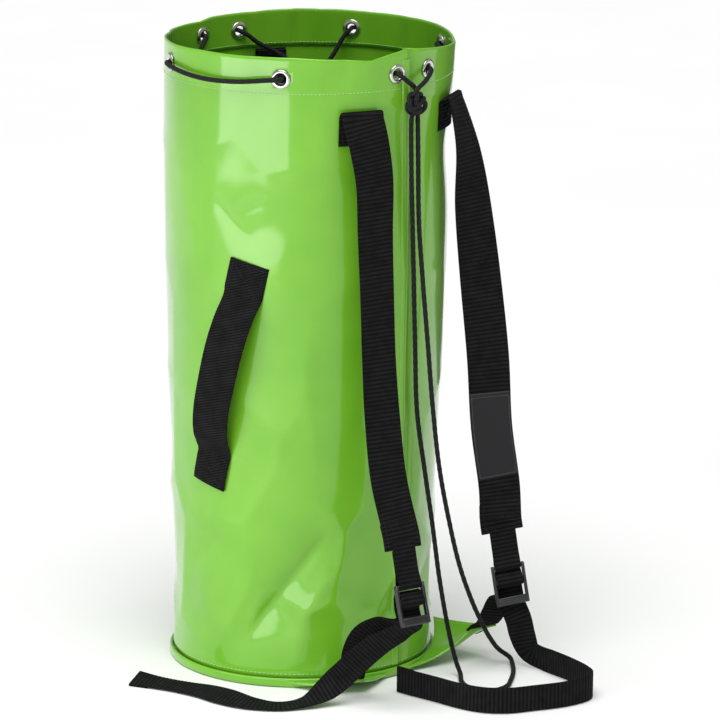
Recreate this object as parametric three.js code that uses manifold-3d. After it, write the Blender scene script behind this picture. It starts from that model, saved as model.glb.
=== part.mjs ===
// Rope storage bag for arborist climbing gear: an open-topped tube of coated fabric that stands on its base,
// closed by a drawcord reeved through eyelets under the rim, with two shoulder straps, a side haul handle
// and a rope tie-in loop inside. Millimetres, +Z up. The origin is the centre of the base's underside, and
// -Y is the side of the back seam, where the shoulder straps are. "Bearing" is the angle in degrees round
// the bag from that seam, positive towards +X.
import * as THREE from "three";
import { mergeVertices } from "three/addons/utils/BufferGeometryUtils.js";
import Module from "manifold-3d";

const wasm = await Module();
wasm.setup();

// Clearance kept between pieces that are sewn or touch.
const GAP = 0.3;

// Bag body: a tube that narrows to a waist just above the base, and leans a little towards its straps.
const HEIGHT = 600;
const RIM_RADIUS = 136.5;
const WAIST_RADIUS = RIM_RADIUS - 14;
const WAIST_HEIGHT = 70;
const BASE_RADIUS = WAIST_RADIUS + 2;
const LEAN_X = 6;
const LEAN_Y = -6;
const WALL = 1.2;
const BODY_SIDES = 56;

// The free pieces are laid out round a bag of this rim radius, and spread with it.
const LAYOUT_RIM_RADIUS = 136.5;
const SPREAD = RIM_RADIUS / LAYOUT_RIM_RADIUS;

// Hem, base, binding and back seam.
const HEM_DEPTH = 34;
const HEM_THICKNESS = 1.0;
const BASE_THICKNESS = 2.2;
const BINDING_HEIGHT = 9;
const BINDING_THICKNESS = 1.8;
const SEAM_WIDTH = 14;
const SEAM_THICKNESS = 0.8;

// Eyelets, and the drawcord that runs through them.
const EYELET_BEARINGS = [-175, -114, -55, -8, 9, 67, 118, 166];
const EYELET_DROP = 17;
const EYELET_HOLE_RADIUS = 4.6;
const EYELET_BARREL = 0.8;
const EYELET_FLANGE_RADIUS = 8.8;
const EYELET_FLANGE_THICKNESS = 0.9;
const CORD_DIAMETER = 4.6;
const CORD_SIDES = 8;
const KNOT_BEARING = -3;
const KNOT_DROP = 44;
const KNOT_STANDOFF = 13;
const KNOT_HALF_WIDTH = 11;
const KNOT_HALF_HEIGHT = 12;
const KNOT_HALF_DEPTH = 8;

// Webbing: wide for the straps and the handle, narrow for the adjusters.
const STRAP_WIDTH = 40;
const STRAP_THICKNESS = 1.6;
const NARROW_WIDTH = 25;
const NARROW_THICKNESS = 1.4;

// Shoulder straps: a sewn end on the bag, a fold over its top edge, and a bow down to the ladder lock.
const STRAP_TOP_DROP = 50;
const SEWN_END_LENGTH = 29;
const FOLD_STANDOFF = 3.4;

// Ladder lock for the narrow webbing, in its own frame: X across, Y up the strap, Z away from the bag.
const LOCK_SLOT_CLEARANCE = 0.7;
const LOCK_RAIL_WIDTH = 2.8;
const LOCK_RAIL_DEPTH = 5;
const LOCK_BAR_RADIUS = 1.8;
const LOCK_MIDDLE_BAR = { y: -14.5, height: 5, depth: 3 };
const LOCK_LIP = { y: -33, height: 8, depth: 3, z: 2.4 };
const LOOP_LENGTH = 34;

// Lower tabs: folded gussets of the body's own fabric, sewn into the base seam. The right one's far edge
// rises up the wall.
const TAB_ARC = 44;
const TAB_TIP_WIDTH = 27;
const TAB_THICKNESS = 2.4;

// Haul handle on the side, bowed out for a hand.
const HANDLE_TOP = { bearing: -67, z: 409 };
const HANDLE_BOTTOM = { bearing: -88, z: 190 };
const HANDLE_SEWN_LENGTH = 34;
const HANDLE_BOW = 16;
const HANDLE_FREE_HEIGHT = 8;
const HANDLE_SWING_GAP = 1.3;

// Rope tie-in loop inside the back wall, under the hem.
const TIE_BEARING = 152;
const TIE_WIDTH = 30;
const TIE_SEWN_LENGTH = 20;
const TIE_LENGTH = 70;
const TIE_OPENING = 20;

// Label on the right strap, and the strap's length between the label and its lower end.
const LABEL_WIDTH = 38;
const LABEL_LENGTH = 84;
const LABEL_THICKNESS = 0.5;
const LABEL_ABOVE_END = 50;

const GREEN = { color: 0x82c846, roughness: 0.28 };
const BLACK_WEBBING = { color: 0x17181a, roughness: 0.85 };
const BLACK_CORD = { color: 0x131416, roughness: 0.8 };
const BLACK_PLASTIC = { color: 0x101113, roughness: 0.35 };
const NICKEL = { color: 0xb9bcc0, roughness: 0.25, metalness: 1 };
const SATIN = { color: 0x1c1d20, roughness: 0.45 };

const UP = new THREE.Vector3(0, 0, 1);
const bag = new THREE.Group();
bag.matrixAutoUpdate = false;
bag.matrix.set(
  1, 0, LEAN_X / HEIGHT, 0,
  0, 1, LEAN_Y / HEIGHT, 0,
  0, 0, 1, 0,
  0, 0, 0, 1,
);

function addMesh(name, geometry, look, parent = bag) {
  const mesh = new THREE.Mesh(geometry, new THREE.MeshStandardMaterial(look));
  mesh.name = name;
  parent.add(mesh);
  return mesh;
}

const vec = (x, y, z) => new THREE.Vector3(x, y, z);
const radians = THREE.MathUtils.degToRad;

// Outer radius of the bag at a height: a parabola from the waist up to the rim, and another down to the base.
function bodyRadius(z) {
  if (z < WAIST_HEIGHT) return WAIST_RADIUS + (BASE_RADIUS - WAIST_RADIUS) * (1 - z / WAIST_HEIGHT) ** 2;
  const below_rim = (HEIGHT - z) / (HEIGHT - WAIST_HEIGHT);
  return RIM_RADIUS - (RIM_RADIUS - WAIST_RADIUS) * below_rim ** 2;
}

const polar = (bearing, radius, z) =>
  vec(radius * Math.sin(radians(bearing)), -radius * Math.cos(radians(bearing)), z);
const onBag = (bearing, z, standoff) => polar(bearing, bodyRadius(z) + standoff, z);
const outward = (bearing) => polar(bearing, 1, 0);
const sideways = (bearing) => vec(Math.cos(radians(bearing)), Math.sin(radians(bearing)), 0);
const spread = ([x, y, z]) => vec(x * SPREAD, y * SPREAD, z);

// Solids and booleans -------------------------------------------------------------------------------------

function toManifold(geometry) {
  const bare = geometry.clone();
  bare.deleteAttribute("normal");
  bare.deleteAttribute("uv");
  const merged = mergeVertices(bare, 1e-4);
  return new wasm.Manifold(new wasm.Mesh({
    numProp: 3,
    vertProperties: merged.attributes.position.array,
    triVerts: new Uint32Array(merged.index.array),
  }));
}

function toGeometry(solid) {
  const mesh = solid.getMesh();
  const geometry = new THREE.BufferGeometry();
  geometry.setAttribute("position", new THREE.BufferAttribute(mesh.vertProperties, 3));
  geometry.setIndex(new THREE.BufferAttribute(mesh.triVerts, 1));
  geometry.computeVertexNormals();
  return geometry;
}

// A closed ring round +Z from a list of [radius, z], taken anticlockwise with the radius to the right.
function ring(outline, sides) {
  const points = outline.map(([radius, z]) => new THREE.Vector2(radius, z));
  points.push(points[0].clone());
  return new THREE.LatheGeometry(points, sides).rotateX(Math.PI / 2);
}

// A closed slab of even thickness about the surface middle(u, v), with u and v from 0 to 1.
function slab(middle, stepsU, stepsV, thickness) {
  const nudge = 1e-3;
  const normal = (u, v) => {
    const alongU = middle(Math.min(u + nudge, 1), v).sub(middle(Math.max(u - nudge, 0), v));
    const alongV = middle(u, Math.min(v + nudge, 1)).sub(middle(u, Math.max(v - nudge, 0)));
    return alongU.cross(alongV).normalize();
  };
  const positions = [];
  for (const side of [1, -1]) {
    for (let i = 0; i <= stepsU; i++) {
      for (let j = 0; j <= stepsV; j++) {
        const [u, v] = [i / stepsU, j / stepsV];
        positions.push(...middle(u, v).addScaledVector(normal(u, v), (side * thickness) / 2).toArray());
      }
    }
  }
  const perSide = (stepsU + 1) * (stepsV + 1);
  const top = (i, j) => i * (stepsV + 1) + j;
  const bottom = (i, j) => perSide + top(i, j);
  const faces = [];
  const quad = (a, b, c, d) => faces.push(a, b, c, a, c, d);
  for (let i = 0; i < stepsU; i++) {
    for (let j = 0; j < stepsV; j++) {
      quad(top(i, j), top(i + 1, j), top(i + 1, j + 1), top(i, j + 1));
      quad(bottom(i, j), bottom(i, j + 1), bottom(i + 1, j + 1), bottom(i + 1, j));
    }
    quad(top(i, 0), bottom(i, 0), bottom(i + 1, 0), top(i + 1, 0));
    quad(top(i, stepsV), top(i + 1, stepsV), bottom(i + 1, stepsV), bottom(i, stepsV));
  }
  for (let j = 0; j < stepsV; j++) {
    quad(top(0, j), top(0, j + 1), bottom(0, j + 1), bottom(0, j));
    quad(top(stepsU, j), bottom(stepsU, j), bottom(stepsU, j + 1), top(stepsU, j + 1));
  }
  const geometry = new THREE.BufferGeometry();
  geometry.setAttribute("position", new THREE.Float32BufferAttribute(positions, 3));
  geometry.setIndex(faces);
  geometry.computeVertexNormals();
  return geometry;
}

// Webbing along a list of { at, across }: at is a point on its centreline, across its width direction there.
function webbing(stations, width, thickness, stepsPerSpan = 3) {
  const centre = new THREE.CatmullRomCurve3(stations.map((s) => s.at), false, "centripetal");
  const across = new THREE.CatmullRomCurve3(stations.map((s) => s.across), false, "catmullrom");
  const middle = (u, v) => {
    const sideVector = across.getPoint(u);
    const along = centre.getTangent(u);
    sideVector.addScaledVector(along, -sideVector.dot(along)).normalize();
    return centre.getPoint(u).addScaledVector(sideVector, (v - 0.5) * width);
  };
  return slab(middle, (stations.length - 1) * stepsPerSpan, 2, thickness);
}

// A curve whose even steps fall on its own points, so that a cord's tube turns exactly where they are.
class RouteCurve extends THREE.CatmullRomCurve3 {
  getUtoTmapping(u) {
    return u;
  }
}

function cordTube(points) {
  const section = new THREE.Shape();
  for (let i = 0; i < CORD_SIDES; i++) {
    const angle = (2 * Math.PI * i) / CORD_SIDES;
    const [x, y] = [(CORD_DIAMETER / 2) * Math.cos(angle), (CORD_DIAMETER / 2) * Math.sin(angle)];
    if (i === 0) section.moveTo(x, y);
    else section.lineTo(x, y);
  }
  section.closePath();
  return new THREE.ExtrudeGeometry(section, {
    extrudePath: new RouteCurve(points, false, "centripetal"),
    steps: points.length - 1,
    bevelEnabled: false,
  });
}

// Body, hem, base and seam --------------------------------------------------------------------------------

// The tube wall between two heights, from its outer surface inwards, with a station every so often.
function wallOutline(low, high, stations, outerInset, thickness) {
  const heights = Array.from({ length: stations }, (_, i) => low + ((high - low) * i) / (stations - 1));
  const outer = heights.map((z) => [bodyRadius(z) - outerInset, z]);
  const inner = heights.toReversed().map((z) => [bodyRadius(z) - outerInset - thickness, z]);
  return [...outer, ...inner];
}

function eyeletPlace(bearing) {
  const z = HEIGHT - EYELET_DROP;
  const place = new THREE.Matrix4().makeRotationFromQuaternion(
    new THREE.Quaternion().setFromUnitVectors(vec(0, 1, 0), outward(bearing)),
  );
  return place.setPosition(onBag(bearing, z, 0));
}

// Cuts a round hole for each eyelet's barrel.
function punchEyeletHoles(geometry) {
  const holeRadius = EYELET_HOLE_RADIUS + EYELET_BARREL + GAP;
  let solid = toManifold(geometry);
  for (const bearing of EYELET_BEARINGS) {
    const drill = new THREE.CylinderGeometry(holeRadius, holeRadius, 30, 16);
    solid = solid.subtract(toManifold(drill.applyMatrix4(eyeletPlace(bearing))));
  }
  return toGeometry(solid);
}

function addBody() {
  const lowEdge = BASE_THICKNESS + GAP;
  const wall = ring(wallOutline(lowEdge, HEIGHT, 11, 0, WALL), BODY_SIDES);
  addMesh("body_panel", punchEyeletHoles(wall), GREEN);

  const hemOutline = wallOutline(HEIGHT - HEM_DEPTH, HEIGHT - GAP, 3, WALL + GAP, HEM_THICKNESS);
  addMesh("hem_facing", punchEyeletHoles(ring(hemOutline, BODY_SIDES)), GREEN);

  const disc = new THREE.CylinderGeometry(BASE_RADIUS, BASE_RADIUS, BASE_THICKNESS, BODY_SIDES);
  disc.rotateX(Math.PI / 2).translate(0, 0, BASE_THICKNESS / 2);
  addMesh("base_disc", disc, GREEN);

  const inner = BASE_RADIUS + GAP + 0.1;
  const outer = inner + BINDING_THICKNESS;
  const softening = BINDING_THICKNESS / 3;
  const binding = ring([
    [inner, 0],
    [outer - softening, 0],
    [outer, softening],
    [outer, BINDING_HEIGHT - softening],
    [outer - softening, BINDING_HEIGHT],
    [inner, BINDING_HEIGHT],
  ], BODY_SIDES);
  addMesh("base_binding", binding, GREEN);

  const halfArc = THREE.MathUtils.radToDeg(SEAM_WIDTH / 2 / RIM_RADIUS);
  const seamLow = BINDING_HEIGHT + 1;
  const seamHigh = HEIGHT - 2;
  const seam = (u, v) =>
    onBag(halfArc * (2 * v - 1), seamLow + (seamHigh - seamLow) * u, GAP + SEAM_THICKNESS / 2);
  addMesh("seam_strip", slab(seam, 10, 2, SEAM_THICKNESS), GREEN);
}

// Eyelets and drawcord ------------------------------------------------------------------------------------

// A grommet with its flange outside the wall and its barrel through both layers, and the washer inside.
function addEyelets() {
  const sides = 16;
  const layers = WALL + GAP + HEM_THICKNESS;
  const sagitta = RIM_RADIUS - Math.sqrt(RIM_RADIUS ** 2 - EYELET_FLANGE_RADIUS ** 2);
  const barrelRadius = EYELET_HOLE_RADIUS + EYELET_BARREL;
  const flangeLow = 2 * GAP;
  const flangeHigh = flangeLow + EYELET_FLANGE_THICKNESS;
  const washerHigh = -layers - sagitta - GAP;
  const washerLow = washerHigh - EYELET_FLANGE_THICKNESS;
  const barrelEnd = washerLow - GAP;
  const grommetOutline = [
    [EYELET_HOLE_RADIUS, barrelEnd],
    [barrelRadius, barrelEnd],
    [barrelRadius, flangeLow],
    [EYELET_FLANGE_RADIUS, flangeLow],
    [EYELET_FLANGE_RADIUS - 0.4, flangeLow + 0.5],
    [barrelRadius + 0.6, flangeHigh],
    [EYELET_HOLE_RADIUS, flangeLow + 0.4],
  ];
  const washerOutline = [
    [barrelRadius + GAP, washerLow],
    [EYELET_FLANGE_RADIUS - 0.4, washerLow],
    [EYELET_FLANGE_RADIUS, washerHigh],
    [barrelRadius + GAP, washerHigh],
  ];
  const lathe = (outline) => {
    const points = outline.map(([radius, y]) => new THREE.Vector2(radius, y));
    points.push(points[0].clone());
    return new THREE.LatheGeometry(points, sides);
  };
  EYELET_BEARINGS.forEach((bearing, i) => {
    addMesh(`eyelet_${i + 1}`, lathe(grommetOutline).applyMatrix4(eyeletPlace(bearing)), NICKEL);
    addMesh(`eyelet_washer_${i + 1}`, lathe(washerOutline).applyMatrix4(eyeletPlace(bearing)), NICKEL);
  });
}

// The cord passes each eyelet square to the wall, between these standoffs.
const CORD_OUT = 3.4;
const CORD_IN = -6.6;

// Runs between neighbouring eyelets, as [share of the way round, drop below the eyelets, standoff].
const OUTSIDE_RUN = [[0.08, 0.5, 6.2], [0.28, 3, 6.6], [0.5, 4.5, 6.8], [0.72, 3.5, 6.6], [0.92, 0.5, 6.2]];
const OUTSIDE_SHORT_RUN = [[0.22, 0, 6.2], [0.5, -1, 6.8], [0.78, 0, 6.2]];
const OUTSIDE_FAR_RUN = [[0.09, 1, 6.2], [0.36, 5, 6.8], [0.64, 5, 6.8], [0.91, 1, 6.2]];
const INSIDE_RUN = [[0.08, 1, -9], [0.35, 6, -10], [0.65, 6, -10], [0.92, 1, -9]];
const INSIDE_HANGING_RUN = [[0.07, 5, -11], [0.3, 20, -20], [0.6, 22, -21], [0.92, 4, -11]];
const INSIDE_SLACK_RUN = [
  [0.06, 8, -10], [0.14, 24, -16], [0.28, 42, -22], [0.42, 41, -22],
  [0.55, 30, -19], [0.7, 20, -15], [0.86, 11, -12], [0.94, 4, -10],
];

// From the knot in through the eyelet right of the seam, round the rim in and out, and back behind its start.
function rimCordRoute() {
  const eyeletHeight = HEIGHT - EYELET_DROP;
  const bearings = EYELET_BEARINGS.map((b) => (b < 0 ? b + 360 : b)).sort((a, b) => a - b);
  const runs = [
    INSIDE_RUN, OUTSIDE_FAR_RUN, INSIDE_SLACK_RUN, OUTSIDE_SHORT_RUN,
    INSIDE_HANGING_RUN, OUTSIDE_RUN, INSIDE_RUN,
  ];
  const knotTop = HEIGHT - KNOT_DROP + KNOT_HALF_HEIGHT + 2;
  const leadIn = [onBag(-3.2, knotTop, 15.5), onBag(2.5, knotTop + 6.5, 12)];
  const leadOut = [onBag(354.8, knotTop + 6.5, 7.5), onBag(357.4, knotTop, 10.2)];
  const route = [...leadIn];
  bearings.forEach((bearing, i) => {
    const goingIn = i % 2 === 0;
    const crossing = [onBag(bearing, eyeletHeight, CORD_OUT), onBag(bearing, eyeletHeight, CORD_IN)];
    route.push(...(goingIn ? crossing : crossing.toReversed()));
    if (i === runs.length) return;
    const span = bearings[i + 1] - bearing;
    for (const [share, drop, standoff] of runs[i]) {
      route.push(onBag(bearing + span * share, eyeletHeight - drop, standoff));
    }
  });
  return [...route, ...leadOut];
}

// The free end of the drawcord is a loop: down from the knot, along the floor, and up again.
const FLOOR_CORD = CORD_DIAMETER / 2 + 0.4;
const BIGHT_ROUTE = [
  [-13, -149, 543], [-11, -147.5, 505], [-5, -145, 436], [0, -143, 380], [3, -143, 320], [7, -143, 260],
  [15, -146, 205], [22, -151, 150], [27, -156, 100], [33, -160, 60], [39, -163, 30], [43, -166, 12],
  [41, -173, FLOOR_CORD + 1.4], [29, -186, FLOOR_CORD], [20, -202, FLOOR_CORD], [20, -219, FLOOR_CORD],
  [31, -229, FLOOR_CORD], [47, -228, FLOOR_CORD], [64, -217, FLOOR_CORD], [82, -203, FLOOR_CORD],
  [98, -187, FLOOR_CORD + 0.8], [106, -175, FLOOR_CORD + 4], [99, -168, 14], [82, -172, 30], [66, -177, 48],
  [52, -175, 75], [41, -169, 110], [32, -162, 157], [24, -157, 205], [17, -154, 262], [11, -151, 330],
  [6, -148, 390], [1, -147, 443], [-3, -148.5, 505], [-5, -149, 543],
];

function addDrawcord() {
  addMesh("drawcord_rim", cordTube(rimCordRoute()), BLACK_CORD);
  const knot = new THREE.SphereGeometry(1, 16, 10);
  knot.rotateX(Math.PI / 2).scale(KNOT_HALF_WIDTH, KNOT_HALF_DEPTH, KNOT_HALF_HEIGHT);
  knot.rotateZ(radians(KNOT_BEARING));
  const knotCentre = onBag(KNOT_BEARING, HEIGHT - KNOT_DROP, KNOT_STANDOFF);
  knot.translate(knotCentre.x, knotCentre.y, knotCentre.z);
  addMesh("drawcord_knot", knot, BLACK_CORD);
  // The free loop's height follows the knot that it hangs from, and its lowest stretch stays on the floor.
  const top = HEIGHT - KNOT_DROP - KNOT_HALF_HEIGHT - 1 - FLOOR_CORD;
  const stretch = top / (BIGHT_ROUTE[0][2] - FLOOR_CORD);
  const bight = BIGHT_ROUTE.map(([x, y, z]) => spread([x, y, FLOOR_CORD + (z - FLOOR_CORD) * stretch]));
  addMesh("drawcord_bight", cordTube(bight), BLACK_CORD);
}

// Shoulder straps -----------------------------------------------------------------------------------------

// Each side's strap: where it is sewn, its bow as [bearing, standoff, share of the way up from the hinge to
// the fold, width direction], its ladder lock's hinge and lean, the tab it is tied to, and the routes of the
// adjuster's webbing below the lock.
const SIDES = {
  left: {
    bearing: -24,
    bow: [
      [-22.3, 13.8, 0.935, -20], [-20.7, 17.6, 0.858, -13], [-20.3, 19.3, 0.744, -8], [-20, 24.9, 0.604, -5],
      [-20, 32.4, 0.469, -5], [-20, 41.8, 0.36, -8], [-19.7, 58.9, 0.22, -10],
    ],
    hinge: [-66.7, -208.5, 120.5],
    upTheStrap: [0.05, 0.27, 0.96],
    facing: -10,
    tabBearing: -27,
    tabTip: [-70, -138, 13],
    tabTipFacing: -34,
    tabRise: 0,
    anchor: [
      [-72, -143, 30, [0.8, -0.6, 0]], [-76, -150, 48, [0.75, -0.66, 0]], [-77, -163, 66, [0.6, -0.75, -0.2]],
      [-72, -184, 80, [0.75, -0.6, -0.3]],
    ],
    tail: [
      [-76, -205, 76, [0.85, -0.45, -0.25]], [-84, -187, 63, [0.7, -0.6, -0.4]],
      [-92, -170, 46, [0.6, -0.7, -0.4]], [-99, -155, 29, [0.45, -0.8, -0.35]],
      [-109, -142, 14, [0.05, -0.95, -0.3]], [-124, -133, 4.5, [-0.35, -0.93, 0]],
      [-145, -120, 1.8, [-0.55, -0.83, 0]], [-161, -98, 3.2, [-0.85, -0.5, -0.12]],
      [-168, -70, 5, [-0.96, -0.05, -0.28]], [-168, -44, 4.2, [-0.97, -0.05, -0.2]],
      [-172, -16, 3, [-0.97, -0.2, -0.1]], [-180, 10, 3.2, [-0.93, -0.33, -0.12]],
      [-189, 32, 5, [-0.9, -0.36, -0.25]],
    ],
  },
  right: {
    bearing: 27,
    bow: [
      [25.5, 22, 0.899, 13], [25, 29.6, 0.776, -12], [25, 39.9, 0.619, -28], [25, 50.8, 0.452, -36],
      [25, 58, 0.302, -32], [25, 69.3, 0.172, -32],
    ],
    hinge: [87, -187.8, 103.3],
    upTheStrap: [-0.08, 0.14, 0.98],
    facing: -34,
    tabBearing: 30,
    tabTip: [97, -149, 33],
    tabTipFacing: -20,
    tabRise: 22,
    anchor: [
      [97, -154.5, 40, [0.85, -0.5, 0.1]], [96, -163, 52, [0.85, -0.52, 0]], [95, -172, 66, [0.84, -0.55, 0]],
    ],
    tail: [
      [96, -195, 51, [0.78, -0.62, 0]], [101, -196, 34, [0.6, -0.78, 0.1]],
      [107, -199, 18, [0.2, -0.85, 0.45]], [110, -212, 13.2, [-0.1, -0.3, 0.95]],
      [107, -234, 13.2, [-0.1, -0.2, 0.97]], [102, -262, 13.2, [-0.1, -0.1, 1]],
      [94, -287, 13.2, [-0.05, -0.05, 1]], [86, -301, 13.2, [0, 0, 1]], [74, -308, 13.2, [0, 0, 1]],
      [46, -306, 13.2, [0, 0, 1]], [14, -293, 13.2, [0, 0, 1]], [-8, -282, 13.2, [0, 0, 1]],
      [-22, -266, 13.2, [0, 0, 1]], [-29, -243, 13.2, [0, 0, 1]], [-31, -211, 13.2, [0, 0, 1]],
      [-33, -185, 13.2, [0, 0, 1]], [-34, -163, 13.2, [0, 0, 1]],
    ],
  },
};

// One station of a strap's bow.
function bowStation(side, [bearing, standoff, share, facing]) {
  const low = side.hinge[2];
  const z = low + share * (HEIGHT - STRAP_TOP_DROP - low);
  return { at: onBag(bearing, z, standoff), across: sideways(facing) };
}

// The ladder lock's frame in the bag: X across, Y up the strap, Z away from the bag.
function lockFrame(side) {
  const up = vec(...side.upTheStrap).normalize();
  const across = sideways(side.facing);
  across.addScaledVector(up, -across.dot(up)).normalize();
  const away = across.clone().cross(up);
  return new THREE.Matrix4().makeBasis(across, up, away).setPosition(spread(side.hinge));
}

const inLock = (frame, y, z) => vec(0, y, z).applyMatrix4(frame);
const lockAcross = (frame) => vec(0, 0, 0).setFromMatrixColumn(frame, 0);

function box(width, height, depth, x, y, z) {
  return new THREE.BoxGeometry(width, height, depth).translate(x, y, z);
}

function ladderLock() {
  const railX = NARROW_WIDTH / 2 + LOCK_SLOT_CLEARANCE + LOCK_RAIL_WIDTH / 2;
  const span = 2 * railX;
  const railTop = LOCK_BAR_RADIUS + 1.2;
  const railBottom = LOCK_LIP.y - 1;
  const rail = new THREE.Shape();
  rail.moveTo(-LOCK_RAIL_DEPTH / 2, railTop - 1.5);
  rail.lineTo(-1, railTop);
  rail.lineTo(1, railTop);
  rail.lineTo(LOCK_RAIL_DEPTH / 2, railTop - 1.5);
  rail.lineTo(LOCK_RAIL_DEPTH / 2 + 0.6, LOCK_MIDDLE_BAR.y);
  rail.quadraticCurveTo(LOCK_LIP.z + 2, LOCK_LIP.y + 4, LOCK_LIP.z + 1.5, railBottom);
  rail.lineTo(LOCK_LIP.z - 1.5, railBottom);
  rail.quadraticCurveTo(0, LOCK_LIP.y + 6, -LOCK_RAIL_DEPTH / 2 + 0.6, LOCK_MIDDLE_BAR.y);
  rail.closePath();
  // The rail's outline lies in the lock's YZ plane, so its shape's x becomes Z.
  const railSolid = (x) => {
    const geometry = new THREE.ExtrudeGeometry(rail, {
      depth: LOCK_RAIL_WIDTH, bevelEnabled: false, curveSegments: 4,
    });
    return geometry.rotateY(-Math.PI / 2).translate(x + LOCK_RAIL_WIDTH / 2, 0, 0);
  };
  const topBar = new THREE.CylinderGeometry(LOCK_BAR_RADIUS, LOCK_BAR_RADIUS, span, 16).rotateZ(Math.PI / 2);
  const middle = LOCK_MIDDLE_BAR;
  const pieces = [
    railSolid(-railX),
    railSolid(railX),
    topBar,
    box(span, middle.height, middle.depth, 0, middle.y, 0),
    box(span, LOCK_LIP.height, LOCK_LIP.depth, 0, LOCK_LIP.y, LOCK_LIP.z),
  ];
  return toGeometry(pieces.map(toManifold).reduce((whole, piece) => whole.add(piece)));
}

// The webbing loop that holds the lock: a flat loop round the top bar, closed above it.
function lockLoop() {
  const inner = LOCK_BAR_RADIUS + GAP;
  const outer = inner + NARROW_THICKNESS;
  const outline = new THREE.Shape();
  outline.absarc(0, 0, outer, Math.PI, 2 * Math.PI, false);
  outline.lineTo(outer, 3);
  outline.lineTo(NARROW_THICKNESS, LOOP_LENGTH / 2);
  outline.lineTo(NARROW_THICKNESS, LOOP_LENGTH);
  outline.lineTo(-NARROW_THICKNESS, LOOP_LENGTH);
  outline.lineTo(-NARROW_THICKNESS, LOOP_LENGTH / 2);
  outline.lineTo(-outer, 3);
  outline.closePath();
  const eye = new THREE.Path();
  eye.absarc(0, 0, inner, 0, 2 * Math.PI, false);
  outline.holes.push(eye);
  const geometry = new THREE.ExtrudeGeometry(outline, {
    depth: NARROW_WIDTH, bevelEnabled: false, curveSegments: 16,
  });
  return geometry.rotateY(-Math.PI / 2).translate(NARROW_WIDTH / 2, 0, 0);
}

// The adjuster's webbing where it wraps the lock's middle bar, as [y, z] in the lock's frame.
const WRAP_ROUTE = [
  [-9.7, -3.8], [-10, -1.4], [-10.3, 1.0], [-11.7, 2.9], [-14.5, 3.2], [-17.3, 2.9], [-18.7, 1.0],
  [-19, -1.4], [-19.3, -3.8],
];
// The last stretch of the anchor behind the lock, and the first of the tail under its lip.
const ANCHOR_IN_LOCK = [[-29, -12], [-18, -10.4], [-11.5, -8.4], [-9.6, -4.9]];
const TAIL_IN_LOCK = [[-19.4, -4.9], [-21.9, -6.3], [-28, -5.7], [-36, -4.4]];

function addStrap(sideName) {
  const side = SIDES[sideName];
  const frame = lockFrame(side);
  const foldTop = HEIGHT - STRAP_TOP_DROP;
  const halfWidth = THREE.MathUtils.radToDeg(STRAP_WIDTH / 2 / bodyRadius(foldTop));
  const sewnStandoff = 2 * GAP + STRAP_THICKNESS / 2;

  const sewnEnd = (u, v) =>
    onBag(side.bearing + halfWidth * (2 * v - 1), foldTop - 1 - SEWN_END_LENGTH * (1 - u), sewnStandoff);
  addMesh(`${sideName}_strap_sewn_end`, slab(sewnEnd, 3, 6, STRAP_THICKNESS), BLACK_WEBBING);

  // The fold stands clear of the curved wall over its whole width.
  const flat = sideways(side.bearing);
  const foldStations = [[FOLD_STANDOFF, -0.2], [FOLD_STANDOFF + 1.2, 1.9], [FOLD_STANDOFF + 3.4, 1.6],
    [FOLD_STANDOFF + 6, -5]].map(([standoff, rise]) => ({
      at: onBag(side.bearing, foldTop + rise, standoff),
      across: flat,
    }));
  const bowStations = side.bow.map((station) => bowStation(side, station));
  const endStations = [12, 4, 2 * GAP].map((rise) => ({
    at: inLock(frame, LOOP_LENGTH + rise, 0),
    across: lockAcross(frame),
  }));
  const strapStations = [...foldStations, ...bowStations, ...endStations];
  addMesh(`${sideName}_shoulder_strap`, webbing(strapStations, STRAP_WIDTH, STRAP_THICKNESS), BLACK_WEBBING);

  addMesh(`${sideName}_lock_loop`, lockLoop().applyMatrix4(frame), BLACK_WEBBING);
  addMesh(`${sideName}_ladder_lock`, ladderLock().applyMatrix4(frame), BLACK_PLASTIC);

  const across = lockAcross(frame);
  const inFrame = ([y, z]) => ({ at: inLock(frame, y, z), across });
  const free = ([x, y, z, direction]) => ({ at: spread([x, y, z]), across: vec(...direction) });
  const wrap = webbing(WRAP_ROUTE.map(inFrame), NARROW_WIDTH, NARROW_THICKNESS, 1);
  addMesh(`${sideName}_adjuster_wrap`, wrap, BLACK_WEBBING);
  const anchorStations = [...side.anchor.map(free), ...ANCHOR_IN_LOCK.map(inFrame)];
  const anchor = webbing(anchorStations, NARROW_WIDTH, NARROW_THICKNESS);
  addMesh(`${sideName}_adjuster_anchor`, anchor, BLACK_WEBBING);
  const tailStations = [...TAIL_IN_LOCK.map(inFrame), ...side.tail.map(free)];
  const tail = webbing(tailStations, NARROW_WIDTH, NARROW_THICKNESS);
  addMesh(`${sideName}_adjuster_tail`, tail, BLACK_WEBBING);
  return strapStations;
}

// A gusset from a stretch of the base seam to a narrow tip, where the adjuster's webbing is sewn.
function addTab(sideName) {
  const side = SIDES[sideName];
  const rootRadius = BASE_RADIUS + 2 * GAP + BINDING_THICKNESS + GAP;
  const rootHeight = BINDING_HEIGHT / 2 + 0.5;
  const tip = spread(side.tabTip);
  const tipAcross = sideways(side.tabTipFacing);
  const middle = (u, v) => {
    const seamHeight = rootHeight + side.tabRise * v * v;
    const root = polar(side.tabBearing + TAB_ARC * (v - 0.5), rootRadius, seamHeight);
    const end = tip.clone().addScaledVector(tipAcross, TAB_TIP_WIDTH * (v - 0.5));
    const point = root.lerp(end, u);
    point.z = seamHeight + (tip.z - seamHeight) * u * u;
    return point;
  };
  addMesh(`${sideName}_lower_tab`, slab(middle, 5, 6, TAB_THICKNESS), GREEN);
}

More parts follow.
